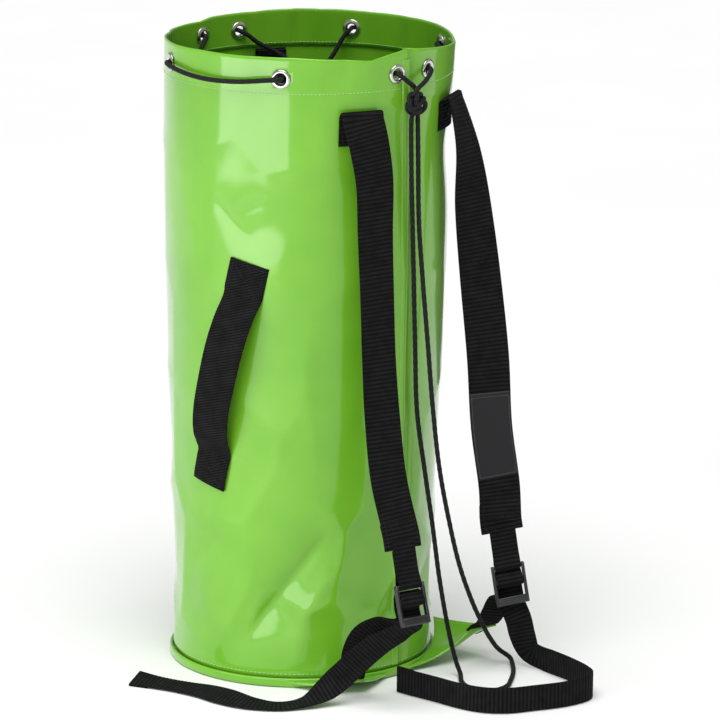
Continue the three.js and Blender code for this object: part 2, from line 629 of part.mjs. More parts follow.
// The label lies on the strap's outer face and follows its curve.
function addLabel(strapStations) {
  const centre = new THREE.CatmullRomCurve3(strapStations.map((s) => s.at), false, "centripetal");
  const across = new THREE.CatmullRomCurve3(strapStations.map((s) => s.across), false, "catmullrom");
  const length = centre.getLength();
  const standoff = STRAP_THICKNESS / 2 + LABEL_THICKNESS / 2 + 2 * GAP;
  const middle = (u, v) => {
    const share = centre.getUtoTmapping(1 - (LABEL_ABOVE_END + LABEL_LENGTH * (1 - u)) / length);
    const along = centre.getTangent(share);
    const side = across.getPoint(share);
    side.addScaledVector(along, -side.dot(along)).normalize();
    const face = along.clone().cross(side);
    return centre.getPoint(share)
      .addScaledVector(side, LABEL_WIDTH * (v - 0.5))
      .addScaledVector(face, standoff);
  };
  addMesh("strap_label", slab(middle, 6, 2, LABEL_THICKNESS), SATIN);
}

// Handle and tie-in loop ----------------------------------------------------------------------------------

function addHandle() {
  const mix = THREE.MathUtils.lerp;
  const length = HANDLE_TOP.z - HANDLE_BOTTOM.z;
  const sewnShare = HANDLE_SEWN_LENGTH / length;
  const flat = 2 * GAP + STRAP_THICKNESS / 2;
  // Standoff along the handle: flat where it is sewn, and between, a bow with a long level middle.
  const standoff = (share) => {
    const along = THREE.MathUtils.clamp((share - sewnShare) / (1 - 2 * sewnShare), 0, 1);
    return flat + HANDLE_BOW * (1 - Math.abs(2 * along - 1) ** 3);
  };
  const halfWidth = STRAP_WIDTH / 2;
  const middle = (share, v) => {
    const bearing = mix(HANDLE_TOP.bearing, HANDLE_BOTTOM.bearing, share);
    const z = mix(HANDLE_TOP.z, HANDLE_BOTTOM.z, share);
    const offset = halfWidth * (2 * v - 1);
    // The sewn ends wrap the wall; the bow is flat across.
    const wrapped = onBag(bearing + THREE.MathUtils.radToDeg(offset / bodyRadius(z)), z, standoff(share));
    const straight = onBag(bearing, z, standoff(share)).addScaledVector(sideways(bearing), offset);
    const lift = Math.min((standoff(share) - flat) / HANDLE_FREE_HEIGHT, 1);
    return wrapped.lerp(straight, lift);
  };
  // The share of the length at which the bow has risen far enough to swing clear of the bag.
  let split = sewnShare;
  while (standoff(split) - flat < HANDLE_FREE_HEIGHT) split += 0.001;
  const splitGap = HANDLE_SWING_GAP / length;
  const piece = (from, to, steps) =>
    slab((u, v) => middle(mix(from, to, u), 1 - v), steps, 4, STRAP_THICKNESS);
  addMesh("haul_handle_upper_end", piece(0, split - splitGap, 6), BLACK_WEBBING);
  addMesh("haul_handle", piece(split + splitGap, 1 - split - splitGap, 12), BLACK_WEBBING);
  addMesh("haul_handle_lower_end", piece(1 - split + splitGap, 1, 6), BLACK_WEBBING);
}

// Inside the back wall: a sewn end, and a D-shaped loop of webbing that hangs from it, flat to the wall.
function addTieLoop() {
  const lining = WALL + 2 * GAP;
  const sewnTop = HEIGHT - HEM_DEPTH - 2;
  const hang = sewnTop - TIE_SEWN_LENGTH - GAP;
  const halfArc = THREE.MathUtils.radToDeg(TIE_WIDTH / 2 / bodyRadius(sewnTop));
  const sewn = (u, v) => onBag(
    TIE_BEARING + halfArc * (2 * v - 1),
    sewnTop - TIE_SEWN_LENGTH * (1 - u),
    -lining - STRAP_THICKNESS / 2,
  );
  addMesh("tie_loop_sewn_end", slab(sewn, 2, 4, STRAP_THICKNESS), BLACK_WEBBING);

  // The outline's x is depth into the bag from the back leg's face, and its y is height.
  const depth = TIE_OPENING + 2 * STRAP_THICKNESS;
  const shoulder = -TIE_LENGTH * 0.35;
  const bottomCentre = -TIE_LENGTH + depth / 2;
  const outline = new THREE.Shape();
  outline.moveTo(0, 0);
  outline.lineTo(0, bottomCentre);
  outline.absarc(depth / 2, bottomCentre, depth / 2, Math.PI, 2 * Math.PI, false);
  outline.lineTo(depth, shoulder);
  outline.lineTo(2 * STRAP_THICKNESS, 0);
  outline.closePath();
  const eye = new THREE.Path();
  eye.moveTo(STRAP_THICKNESS, -6);
  eye.lineTo(depth - STRAP_THICKNESS, shoulder);
  eye.lineTo(depth - STRAP_THICKNESS, bottomCentre);
  eye.absarc(depth / 2, bottomCentre, TIE_OPENING / 2, 0, Math.PI, true);
  eye.closePath();
  outline.holes.push(eye);
  const loop = new THREE.ExtrudeGeometry(outline, { depth: TIE_WIDTH, bevelEnabled: false, curveSegments: 8 });
  loop.translate(0, 0, -TIE_WIDTH / 2);
  const into = outward(TIE_BEARING).negate();
  const across = into.clone().cross(UP);
  const innerRadius = bodyRadius(hang) - lining;
  const sagitta = innerRadius - Math.sqrt(innerRadius ** 2 - (TIE_WIDTH / 2) ** 2);
  const topOfLoop = onBag(TIE_BEARING, hang, -lining - sagitta - 2 * GAP);
  const place = new THREE.Matrix4().makeBasis(into, UP, across).setPosition(topOfLoop);
  addMesh("tie_loop", loop.applyMatrix4(place), BLACK_WEBBING);
}

addBody();
addEyelets();
addDrawcord();
addStrap("left");
addLabel(addStrap("right"));
addTab("left");
addTab("right");
addHandle();
addTieLoop();

export default bag;
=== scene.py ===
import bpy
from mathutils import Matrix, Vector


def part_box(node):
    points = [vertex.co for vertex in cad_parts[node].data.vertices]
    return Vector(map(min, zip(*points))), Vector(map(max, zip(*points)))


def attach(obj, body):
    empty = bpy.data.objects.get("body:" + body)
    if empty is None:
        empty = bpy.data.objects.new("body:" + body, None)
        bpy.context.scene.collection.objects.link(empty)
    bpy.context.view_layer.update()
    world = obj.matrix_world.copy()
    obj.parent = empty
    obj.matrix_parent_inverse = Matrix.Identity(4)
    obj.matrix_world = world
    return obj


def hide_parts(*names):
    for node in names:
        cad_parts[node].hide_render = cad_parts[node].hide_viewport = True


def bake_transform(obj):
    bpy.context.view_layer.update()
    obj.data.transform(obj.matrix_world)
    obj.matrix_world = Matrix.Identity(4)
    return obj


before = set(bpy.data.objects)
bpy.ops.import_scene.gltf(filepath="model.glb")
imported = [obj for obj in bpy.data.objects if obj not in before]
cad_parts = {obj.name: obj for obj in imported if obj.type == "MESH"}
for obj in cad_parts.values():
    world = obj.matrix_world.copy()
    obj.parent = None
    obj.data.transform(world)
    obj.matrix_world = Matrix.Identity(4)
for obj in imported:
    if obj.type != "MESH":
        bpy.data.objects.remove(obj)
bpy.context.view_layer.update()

import copy
import math
import random

import bpy
import numpy as np
from mathutils import Matrix, Vector, noise

# Rope storage bag of glossy coated fabric, with its drawcord, shoulder straps and haul handle.
# Metres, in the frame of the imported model: +Z up, the back seam and the straps on -Y.
# "Bearing" is degrees round the bag from its seam, positive towards +X.
# Shapes are laid out upright; new_piece() leans them as the bag leans.
MM = 0.001

# Bag body
HEIGHT = 0.600
RIM_RADIUS = 0.1365
WAIST_RADIUS = 0.1225
WAIST_HEIGHT = 0.070
BASE_RADIUS = 0.1245
LEAN = 0.01
WALL = 1.1 * MM
HEM_DEPTH = 0.034
STITCH_DROP = 0.031
COLUMNS = 210

# Eyelets and drawcord
EYELET_BEARINGS = [-175, -114, -55, -8, 9, 67, 118, 166]
EYELET_HEIGHT = HEIGHT - 0.017
EYELET_HOLE = 5.6 * MM
CORD_DIAMETER = 4.6 * MM
KNOT_BEARING = -3
KNOT_HEIGHT = HEIGHT - 0.044
KNOT_STANDOFF = 13 * MM
FLOOR_CORD = CORD_DIAMETER / 2 + 0.4 * MM

# Webbing
STRAP_WIDTH = 0.040
STRAP_THICKNESS = 1.6 * MM
NARROW_WIDTH = 0.025
NARROW_THICKNESS = 1.4 * MM
WEB_STEP = 0.65 * MM
RIB_PITCH = 3.9 * MM
TWILL_PITCH = 2.9 * MM
TWILL_SLANT = 0.55
FOLD_HEIGHT = HEIGHT - 0.050
SEWN_LENGTH = 0.029
LOOP_LENGTH = 0.034
STRAP_END_FOLD = 0.028
TAIL_END_FOLD = 0.021

# Folded tabs in the base seam
TAB_ARC = 44
TAB_TIP_WIDTH = 0.027
TAB_THICKNESS = 2.2 * MM

# Label
LABEL_WIDTH = 0.0385
LABEL_HALF_LENGTH = 0.043
LABEL_THICKNESS = 0.5 * MM
LABEL_MARGIN = 2.5 * MM

# Haul handle
HANDLE_TOP = (-67, 0.409)
HANDLE_BOTTOM = (-88, 0.190)
HANDLE_SEWN = 0.034
HANDLE_BOW = 0.016

# Tie-in loop
TIE_BEARING = 152
TIE_WIDTH = 0.030
TIE_TOP = HEIGHT - HEM_DEPTH - 2 * MM
TIE_HANG = TIE_TOP - 0.0203

# Camera, which looks down at the bag from its front left
CAMERA_PLACE = (-3.1954, -3.3090, 1.4300)
CAMERA_AIM = (0.04025, -0.03887, 0.28611)
CAMERA_LENS = 249.25

# Studio
FLOOR_REACH = 30
WORLD_STRENGTH = 0.33
KEY_PLACE = (-1.60, -0.02, 0.36)
KEY_AIM = (0, -0.02, 0.36)
KEY_SIZE = (1.9, 0.50)
KEY_POWER = 12
OVERHEAD_STRENGTH = 3.0
CARD_ENDS = ((0.94, 0.32), (1.79, -0.54))
CARD_HEIGHT = 1.0


# Curves and places ------------------------------------------------------------------------------------------

def polar(bearing, radius, z):
    angle = math.radians(bearing)
    return Vector((radius * math.sin(angle), -radius * math.cos(angle), z))


def outward(bearing):
    return polar(bearing, 1, 0)


def sideways(bearing):
    angle = math.radians(bearing)
    return Vector((math.cos(angle), math.sin(angle), 0))


def bearing_gap(bearing, other):
    """Degrees from other to bearing, the short way round."""
    return (bearing - other + 180) % 360 - 180


def body_radius(z):
    """The bag's smooth outer radius: a parabola from the waist to the rim, and another down to the base."""
    low = WAIST_RADIUS + (BASE_RADIUS - WAIST_RADIUS) * np.clip(1 - z / WAIST_HEIGHT, 0, 1) ** 2
    high = RIM_RADIUS - (RIM_RADIUS - WAIST_RADIUS) * ((HEIGHT - z) / (HEIGHT - WAIST_HEIGHT)) ** 2
    return np.where(z < WAIST_HEIGHT, low, high)


def on_bag(bearing, z, standoff):
    return polar(bearing, float(body_radius(z)) + standoff, z)


def on_skin(bearing, z, standoff):
    """A point on the bag's fabric with its dents, a little outside or inside it."""
    return polar(bearing, float(body_radius(z) + skin_offset(bearing, z)) + standoff, z)


def smooth_curve(points, steps, even=False):
    """Points on a smooth curve through the given ones, with that many steps in each span."""
    points = [np.array(p, float) for p in points]
    first = 2 * points[0] - points[1]
    last = 2 * points[-1] - points[-2]
    padded = [first, *points, last]
    made = []
    for i in range(len(points) - 1):
        a, b, c, d = padded[i:i + 4]
        if even:
            start, end = (c - a) / 2, (d - b) / 2
        else:
            ab, bc, cd = (math.sqrt(np.linalg.norm(q - p)) or 1 for p, q in ((a, b), (b, c), (c, d)))
            start = ((b - a) / ab - (c - a) / (ab + bc) + (c - b) / bc) * bc
            end = ((c - b) / bc - (d - b) / (bc + cd) + (d - c) / cd) * bc
        for k in range(steps):
            t = k / steps
            made.append(
                (2 * t ** 3 - 3 * t ** 2 + 1) * b + (t ** 3 - 2 * t ** 2 + t) * start
                + (3 * t ** 2 - 2 * t ** 3) * c + (t ** 3 - t ** 2) * end
            )
    return np.array([*made, points[-1]])


def lengths_along(points):
    return np.concatenate([[0], np.cumsum(np.linalg.norm(np.diff(points, axis=0), axis=1))])


def resample(points, step, *others):
    """Evenly spaced points along a polyline, with the other arrays taken at the same places."""
    along = lengths_along(points)
    places = np.linspace(0, along[-1], max(2, round(along[-1] / step) + 1))
    taken = [
        np.stack([np.interp(places, along, column) for column in np.atleast_2d(array.T)], axis=1)
        for array in (points, *others)
    ]
    return places, *taken


# The fabric's shape -----------------------------------------------------------------------------------------

# Soft dents: bearing, height, half width in degrees, half height, depth.
DENTS = [
    (46, 0.502, 22, 0.045, 5.5 * MM),
    (46, 0.350, 16, 0.220, 2.6 * MM),
    (-24, 0.490, 13, 0.050, 2.2 * MM),
    (-66, 0.440, 10, 0.026, 1.6 * MM),
    (-58, 0.400, 8, 0.030, -1.4 * MM),
    (-40, 0.250, 13, 0.090, 2.4 * MM),
    (-52, 0.095, 13, 0.032, 3.6 * MM),
    (-88, 0.075, 12, 0.035, -2.2 * MM),
    (-20, 0.170, 13, 0.070, 1.8 * MM),
    (-120, 0.330, 18, 0.090, 2.0 * MM),
    (-160, 0.150, 20, 0.070, 2.6 * MM),
    (110, 0.200, 22, 0.100, 2.6 * MM),
    (150, 0.420, 18, 0.080, 2.0 * MM),
    (80, 0.400, 14, 0.070, 1.8 * MM),
]

# Creases: the bearing and height of each end, half width, and depth.
CREASES = [
    ((-33, 0.150), (-73, 0.036), 13 * MM, 7.0 * MM),
    ((-72, 0.036), (-62, 0.092), 8 * MM, -3.0 * MM),
    ((-30, 0.115), (-46, 0.060), 10 * MM, -3.0 * MM),
    ((-84, 0.470), (-66, 0.425), 9 * MM, 1.3 * MM),
    ((-72, 0.455), (-60, 0.470), 7 * MM, 1.0 * MM),
    ((-46, 0.330), (-38, 0.200), 12 * MM, -1.4 * MM),
    ((-100, 0.110), (-82, 0.140), 9 * MM, 1.6 * MM),
    ((12, 0.060), (34, 0.110), 9 * MM, 2.0 * MM),
    ((60, 0.150), (95, 0.080), 12 * MM, 3.0 * MM),
    ((140, 0.090), (175, 0.150), 12 * MM, 3.0 * MM),
    ((-150, 0.260), (-125, 0.200), 12 * MM, 2.4 * MM),
    ((100, 0.480), (128, 0.400), 12 * MM, 1.8 * MM),
]

# Folds that run down from the rim: bearing, depth, half width in degrees.
RIM_KINKS = [
    (-30, 1.8 * MM, 4), (-92, 1.6 * MM, 5), (-143, 2.8 * MM, 5), (90, 3.0 * MM, 4), (122, 0.6 * MM, 4),
    (131, 3.4 * MM, 3), (144, 3.8 * MM, 3), (158, 2.2 * MM, 3), (40, -1.6 * MM, 9), (-19, -1.8 * MM, 7),
    (-40, -1.0 * MM, 3), (-64, 1.2 * MM, 4), (-78, -1.0 * MM, 5),
]

RIM_KINK_REACH = 0.075

# How far the rim rises above or falls below its level, at bearings round the bag.
RIM_RISE = [
    (-180, 0.0), (-174, -2.6), (-150, -1.0), (-128, 0.5), (-105, 1.5), (-86, 2.6), (-66, 2.6), (-50, 2.8),
    (-38, 1.2), (-29, 0.0), (-20, -1.8), (-12, 2.0), (-5, 5.0), (0, 4.5), (15, 0.5), (30, -3.0), (40, -4.0),
    (60, -1.6), (90, 0.4), (110, 0.0), (124, 1.2), (144, 1.8), (160, 0.6), (180, 0.0),
]

# The back seam: its bearings, how proud its lap stands, and the groove beside it.
SEAM_BEARING_TOP = -3.4
SEAM_BEARING_LOW = 1.6
SEAM_PROUD = 1.5 * MM
SEAM_PROUD_REACH = 12 * MM
SEAM_GROOVE = 6.0 * MM
SEAM_GROOVE_MIDDLE = 3.0 * MM
SEAM_GROOVE_REACH = 5.5 * MM

# Flat patches: their size, how far their soft edges reach, and their depth, which fades towards this height.
FACET_WIDTH = 0.086
FACET_HEIGHT = 0.110
FACET_UPRIGHT = 0.8
FACET_EDGE = 0.045
FACET_FADE_HEIGHT = 0.36
FACET_DEPTH_LOW = 3.0 * MM
FACET_DEPTH_HIGH = 0.7 * MM
ROUND_THE_BAG = 2 * math.pi * RIM_RADIUS


def facet_centres():
    """The middles of the flat patches that stiff fabric settles into, spread unevenly round the bag."""
    spread = random.Random(11)
    across = round(ROUND_THE_BAG / FACET_WIDTH)
    rows = round(HEIGHT / FACET_HEIGHT) + 1
    centres = []
    for row in range(rows):
        for column in range(across):
            x = (column + 0.5 * (row % 2) + spread.uniform(-0.3, 0.3)) * ROUND_THE_BAG / across
            centres.append((x, (row + spread.uniform(-0.3, 0.3)) * FACET_HEIGHT))
    return np.array(centres)


FACETS = facet_centres()


def seam_bearing(z):
    return SEAM_BEARING_LOW + (SEAM_BEARING_TOP - SEAM_BEARING_LOW) * z / HEIGHT


def eyelet_calm(bearing, z):
    """0 at each eyelet and 1 away from it, so that the fabric is flat under the metal."""
    calm = np.ones(np.broadcast(bearing, z).shape)
    for eyelet in EYELET_BEARINGS:
        across = np.radians(bearing_gap(bearing, eyelet)) * RIM_RADIUS
        distance = np.hypot(across, z - EYELET_HEIGHT)
        calm *= 1 - np.exp(-((distance / 0.013) ** 4))
    return calm


def skin_offset(bearing, z):
    """How far the fabric stands outside the smooth body, from its dents, creases, flat patches and seam."""
    bearing, z = np.asarray(bearing, float), np.asarray(z, float)
    per_degree = math.radians(1) * RIM_RADIUS
    offset = np.zeros(np.broadcast(bearing, z).shape)
    for at, height, half_width, half_height, depth in DENTS:
        away = (bearing_gap(bearing, at) / half_width) ** 2 + ((z - height) / half_height) ** 2
        offset -= depth * np.exp(-away)
    for (b1, z1), (b2, z2), half_width, depth in CREASES:
        x, y = bearing_gap(bearing, b1) * per_degree, z - z1
        end_x, end_y = bearing_gap(b2, b1) * per_degree, z2 - z1
        share = np.clip((x * end_x + y * end_y) / (end_x ** 2 + end_y ** 2), 0, 1)
        distance = np.hypot(x - share * end_x, y - share * end_y)
        offset -= depth * np.sqrt(4 * share * (1 - share)) * np.exp(-distance / half_width)
    x = np.radians(bearing) * RIM_RADIUS
    gaps = (x[..., None] - FACETS[:, 0] + ROUND_THE_BAG / 2) % ROUND_THE_BAG - ROUND_THE_BAG / 2
    distances = np.sort(np.hypot(gaps, (z[..., None] - FACETS[:, 1]) * FACET_UPRIGHT), axis=-1)
    inside = np.clip((distances[..., 1] - distances[..., 0]) / FACET_EDGE, 0, 1)
    faded = np.clip(z / FACET_FADE_HEIGHT, 0, 1)
    facet_depth = FACET_DEPTH_LOW + (FACET_DEPTH_HIGH - FACET_DEPTH_LOW) * faded
    offset -= facet_depth * (inside * (2 - inside) - 0.5)
    for at, depth, half_width in RIM_KINKS:
        down = (HEIGHT - z) / RIM_KINK_REACH
        offset -= depth * np.exp(-np.abs(bearing_gap(bearing, at)) / half_width - down)
    from_seam = bearing_gap(bearing, seam_bearing(z)) * per_degree
    proud = SEAM_PROUD * np.exp(np.minimum(from_seam, 0) / SEAM_PROUD_REACH) * (from_seam <= 0)
    groove = SEAM_GROOVE / (1 + ((from_seam - SEAM_GROOVE_MIDDLE) / SEAM_GROOVE_REACH) ** 4) * (from_seam > 0)
    near_base = np.clip((z - 0.010) / 0.045, 0, 1)
    return offset * eyelet_calm(bearing, z) * near_base + (proud - groove) * np.clip(z / 0.03, 0, 1)


def rim_rise(bearing):
    bearings, rises = zip(*RIM_RISE)
    return np.interp(bearing_gap(bearing, 0), bearings, rises) * MM


# Meshes -----------------------------------------------------------------------------------------------------

def add_object(name, data):
    """Puts a mesh, a light or a camera in the scene."""
    made = bpy.data.objects.new(name, data)
    bpy.context.scene.collection.objects.link(made)
    return made


def new_piece(name, vertices, faces, material, slot, body=None, uvs=None):
    """A smooth mesh from upright points, leaned with the bag, in its material and on its body. The slot
    argument is not used.
    """
    points = np.array(vertices, float).reshape(-1, 3)
    points[:, 0] += LEAN * points[:, 2]
    points[:, 1] -= LEAN * points[:, 2]
    mesh = bpy.data.meshes.new(name)
    mesh.from_pydata(points.tolist(), [], [tuple(face) for face in faces])
    if uvs is not None:
        layer = mesh.uv_layers.new(name="along")
        for loop in mesh.loops:
            layer.data[loop.index].uv = uvs[loop.vertex_index]
    mesh.shade_smooth()
    mesh.materials.append(material)
    piece = add_object(name, mesh)
    if body:
        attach(piece, body)
    return piece


def strip_faces(rows, columns, closed=False, first=0):
    """Quads between neighbouring rows of points, all rows with the same number of columns."""
    faces = []
    for j in range(rows - 1):
        for i in range(columns if closed else columns - 1):
            k = (i + 1) % columns
            low, high = first + j * columns, first + (j + 1) * columns
            faces.append((low + i, low + k, high + k, high + i))
    return faces


def capped_tube_faces(rows, sides, first=0):
    """A closed tube's faces: its wall of quads and its two ends."""
    last = first + (rows - 1) * sides
    start, end = range(first, first + sides), range(last, last + sides)
    return [*strip_faces(rows, sides, closed=True, first=first), tuple(reversed(start)), tuple(end)]


def joined(parts):
    """Several meshes' vertices and faces as one."""
    vertices, faces = [], []
    for made, quads in parts:
        faces += [tuple(index + len(vertices) for index in face) for face in quads]
        vertices += made
    return vertices, faces


def round_angles(count):
    return [2 * math.pi * i / count for i in range(count)]


def squared_off(value, power):
    """A sine or cosine pushed towards 1 or -1, so that a circle turns into a rounded rectangle."""
    return math.copysign(abs(value) ** power, value)


def apply_modifiers(piece):
    """Makes the piece's modifiers part of its mesh."""
    depsgraph = bpy.context.evaluated_depsgraph_get()
    mesh = bpy.data.meshes.new_from_object(piece.evaluated_get(depsgraph))
    piece.modifiers.clear()
    piece.data = mesh
    mesh.shade_smooth()


def tube_mesh(path, radius_at, sides):
    """Vertices, faces and UVs of a closed tube along a path of points; radius_at(angle, length along)."""
    along = lengths_along(path)
    tangents = np.gradient(path, axis=0)
    side = Vector(tangents[0]).orthogonal().normalized()
    vertices, uvs = [], []
    for point, tangent, length in zip(path, tangents, along):
        forward = Vector(tangent).normalized()
        side = (side - forward * side.dot(forward)).normalized()
        up = forward.cross(side)
        for i, angle in enumerate(round_angles(sides)):
            reach = radius_at(angle, length)
            vertices.append(Vector(point) + (side * math.cos(angle) + up * math.sin(angle)) * reach)
            uvs.append((i / sides, length))
    return vertices, capped_tube_faces(len(path), sides), uvs


# Materials --------------------------------------------------------------------------------------------------

def new_material(name, colour, roughness, **shader):
    """A material whose uniform numbers sit on the shader itself. Returns it with its shader node."""
    material = bpy.data.materials.new(name)
    material.use_nodes = True
    node = material.node_tree.nodes["Principled BSDF"]
    node.inputs["Base Color"].default_value = (*colour, 1)
    node.inputs["Roughness"].default_value = roughness
    for socket, value in shader.items():
        node.inputs[socket.replace("_", " ")].default_value = value
    return material, node


def add_node(material, kind, settings=None, **inputs):
    node = material.node_tree.nodes.new(kind)
    for name, value in (settings or {}).items():
        setattr(node, name, value)
    for name, value in inputs.items():
        socket = node.inputs[name.replace("_", " ")]
        if isinstance(value, bpy.types.NodeSocket):
            material.node_tree.links.new(value, socket)
        else:
            socket.default_value = value
    return node


def colour_between(material, shader, share, dark, light, low, high):
    """The base colour runs from dark to light as share goes from low to high."""
    ramp = add_node(material, "ShaderNodeValToRGB", Fac=share)
    ramp.color_ramp.elements[0].position = low
    ramp.color_ramp.elements[0].color = (*dark, 1)
    ramp.color_ramp.elements[1].position = high
    ramp.color_ramp.elements[1].color = (*light, 1)
    material.node_tree.links.new(ramp.outputs["Color"], shader.inputs["Base Color"])


def add_math(material, operation, *values):
    """A maths node on numbers or other nodes' outputs. Returns its output."""
    node = material.node_tree.nodes.new("ShaderNodeMath")
    node.operation = operation
    for socket, value in zip(node.inputs, values):
        if isinstance(value, bpy.types.NodeSocket):
            material.node_tree.links.new(value, socket)
        else:
            socket.default_value = value
    return node.outputs[0]


def bump(material, shader, height, distance, strength=1.0):
    node = add_node(material, "ShaderNodeBump", Height=height, Distance=distance, Strength=strength)
    material.node_tree.links.new(node.outputs["Normal"], shader.inputs["Normal"])


def roughness_between(material, shader, share, low, high):
    spread = add_node(material, "ShaderNodeMapRange", Value=share, To_Min=low, To_Max=high)
    material.node_tree.links.new(spread.outputs["Result"], shader.inputs["Roughness"])


def noise_over(material, scale, detail=2.0, **settings):
    """Noise through the piece's own space, from 0 to 1."""
    place = add_node(material, "ShaderNodeTexCoord").outputs["Object"]
    made = add_node(material, "ShaderNodeTexNoise", Vector=place, Scale=scale, Detail=detail, **settings)
    return made.outputs["Fac"]


def bands_over(material, place, direction, scale, **settings):
    """Soft bands square to that direction, from 0 to 1."""
    kind = {"wave_type": "BANDS", "bands_direction": direction}
    return add_node(material, "ShaderNodeTexWave", kind, Vector=place, Scale=scale, **settings).outputs["Fac"]


def tarpaulin():
    """Coated fabric: a glossy lime film over a fine woven scrim, with faint clouding and scuffs."""
    material, shader = new_material(
        "tarpaulin_lime", (0.16, 0.44, 0.02), 0.36, Specular_IOR_Level=0.2,
        Coat_Weight=1.0, Coat_Roughness=0.10, Coat_IOR=1.46,
    )
    clouds = noise_over(material, 14.0, 3.0)
    colour_between(material, shader, clouds, (0.145, 0.425, 0.018), (0.175, 0.470, 0.024), 0.35, 0.65)
    scuffs = noise_over(material, 60.0, 6.0, Roughness=0.7)
    roughness_between(material, shader, scuffs, 0.22, 0.42)
    place = add_node(material, "ShaderNodeTexCoord").outputs["Object"]
    weft = bands_over(material, place, "Z", 310.0, Distortion=0.6, Detail=1.0)
    grain = add_math(material, "MULTIPLY_ADD", scuffs, 0.8, weft)
    bump(material, shader, grain, 0.03 * MM, 0.5)
    return material


def lie_of(material):
    """How a band or cord runs: its UVs, the part across or round it, and the part along it."""
    along = add_node(material, "ShaderNodeUVMap", {"uv_map": "along"}).outputs["UV"]
    split = add_node(material, "ShaderNodeSeparateXYZ", Vector=along)
    return along, split.outputs["X"], split.outputs["Y"]


def webbing_weave(name, colour, light, slant, pitch):
    """Black woven webbing: ribs across it at that pitch, level or slanted, over fine warp threads. Its colour
    is painted darker in the grooves between the ribs as painted shade.
    """
    material, shader = new_material(
        name, colour, 0.8, Specular_IOR_Level=0.08, Sheen_Weight=0.01, Sheen_Roughness=0.5,
    )
    along, across_it, along_it = lie_of(material)
    level = add_math(material, "MULTIPLY_ADD", across_it, slant, along_it)
    wave = add_math(material, "SINE", add_math(material, "MULTIPLY", level, math.pi / pitch))
    ribs = add_math(material, "ABSOLUTE", wave)
    warp = bands_over(material, along, "X", 260.0, Distortion=0.4, Detail=1.0)
    bump(material, shader, add_math(material, "MULTIPLY_ADD", warp, 0.3, ribs), 0.35 * MM, 0.9)
    # Painted shade: the colour is darker in the grooves between the ribs and lighter on their crests, mixed
    # with random tone from noise.
    share = add_math(material, "MULTIPLY", noise_over(material, 90.0, 4.0), ribs)
    colour_between(material, shader, share, colour, light, 0.05, 0.60)
    return material


def braided_cord():
    """Black braid: two sets of strands that wind round the cord opposite ways, with painted shade that
    darkens the colour between the raised strands.
    """
    material, shader = new_material(
        "cord_braid", (0.004, 0.004, 0.005), 0.72,
        Specular_IOR_Level=0.2, Sheen_Weight=0.03, Sheen_Roughness=0.4,
    )
    _, share_round, along_it = lie_of(material)
    around = add_math(material, "MULTIPLY", share_round, 2 * math.pi * 6)
    strands = []
    for direction in (1, -1):
        turn = direction * 2 * math.pi / (7 * MM)
        winding = add_math(material, "MULTIPLY_ADD", along_it, turn, around)
        strands.append(add_math(material, "SINE", winding))
    over = add_math(material, "MAXIMUM", *strands)
    bump(material, shader, over, 0.25 * MM, 0.8)
    # Painted shade: the colour is darker between the strands and lighter where they stand proud.
    colour_between(material, shader, over, (0.003, 0.003, 0.004), (0.016, 0.016, 0.018), 0.0, 1.0)
    return material


def moulded_plastic():
    """Black acetal with a fine moulded grain, and a painted highlight that makes its sharp edges paler."""
    material, shader = new_material("lock_plastic_black", (0.004, 0.004, 0.005), 0.30, Coat_Weight=0.1)
    bump(material, shader, noise_over(material, 1400.0), 0.02 * MM, 0.5)
    roughness_between(material, shader, noise_over(material, 220.0, 5.0), 0.24, 0.46)
    # Painted highlight: sharp convex edges are painted paler.
    edges = add_node(material, "ShaderNodeNewGeometry").outputs["Pointiness"]
    colour_between(material, shader, edges, (0.003, 0.003, 0.004), (0.030, 0.031, 0.034), 0.50, 0.60)
    return material


def nickel_plate():
    """Bright nickel, brushed round by handling, with a darker tarnish in patches."""
    material, shader = new_material("nickel_plate", (0.70, 0.69, 0.67), 0.20, Metallic=1.0)
    tarnish = noise_over(material, 260.0, 5.0)
    colour_between(material, shader, tarnish, (0.52, 0.50, 0.47), (0.80, 0.79, 0.78), 0.3, 0.7)
    roughness_between(material, shader, tarnish, 0.12, 0.34)
    bump(material, shader, tarnish, 0.02 * MM, 0.4)
    return material


def label_satin():
    """Smooth black satin ribbon with fine cross threads."""
    material, shader = new_material("label_satin_black", (0.006, 0.006, 0.007), 0.45, Specular_IOR_Level=0.3)
    threads = bands_over(material, lie_of(material)[0], "Y", 900.0, Distortion=0.3)
    bump(material, shader, threads, 0.05 * MM, 0.6)
    colour_between(material, shader, threads, (0.005, 0.005, 0.006), (0.012, 0.012, 0.014), 0, 1)
    return material


def thread(name, dark, light):
    """Twisted sewing thread."""
    material, shader = new_material(name, light, 0.6, Specular_IOR_Level=0.25)
    place = add_node(material, "ShaderNodeTexCoord").outputs["Object"]
    twist = bands_over(material, place, "DIAGONAL", 900.0)
    colour_between(material, shader, twist, dark, light, 0, 1)
    bump(material, shader, twist, 0.05 * MM, 0.6)
    return material


def studio_floor():
    material, shader = new_material("studio_floor", (0.86, 0.86, 0.86), 0.6)
    paper = noise_over(material, 3.0)
    colour_between(material, shader, paper, (0.85, 0.85, 0.85), (0.87, 0.87, 0.87), 0.3, 0.7)
    return material


# Camera, floor and lights -----------------------------------------------------------------------------------

def add_camera():
    camera = add_object("camera", bpy.data.cameras.new("camera"))
    camera.data.sensor_width = 36
    camera.data.lens = CAMERA_LENS
    camera.data.clip_end = 100
    camera.location = CAMERA_PLACE
    facing = Vector(CAMERA_AIM) - camera.location
    camera.rotation_euler = facing.to_track_quat("-Z", "Y").to_euler()
    bpy.context.scene.camera = camera


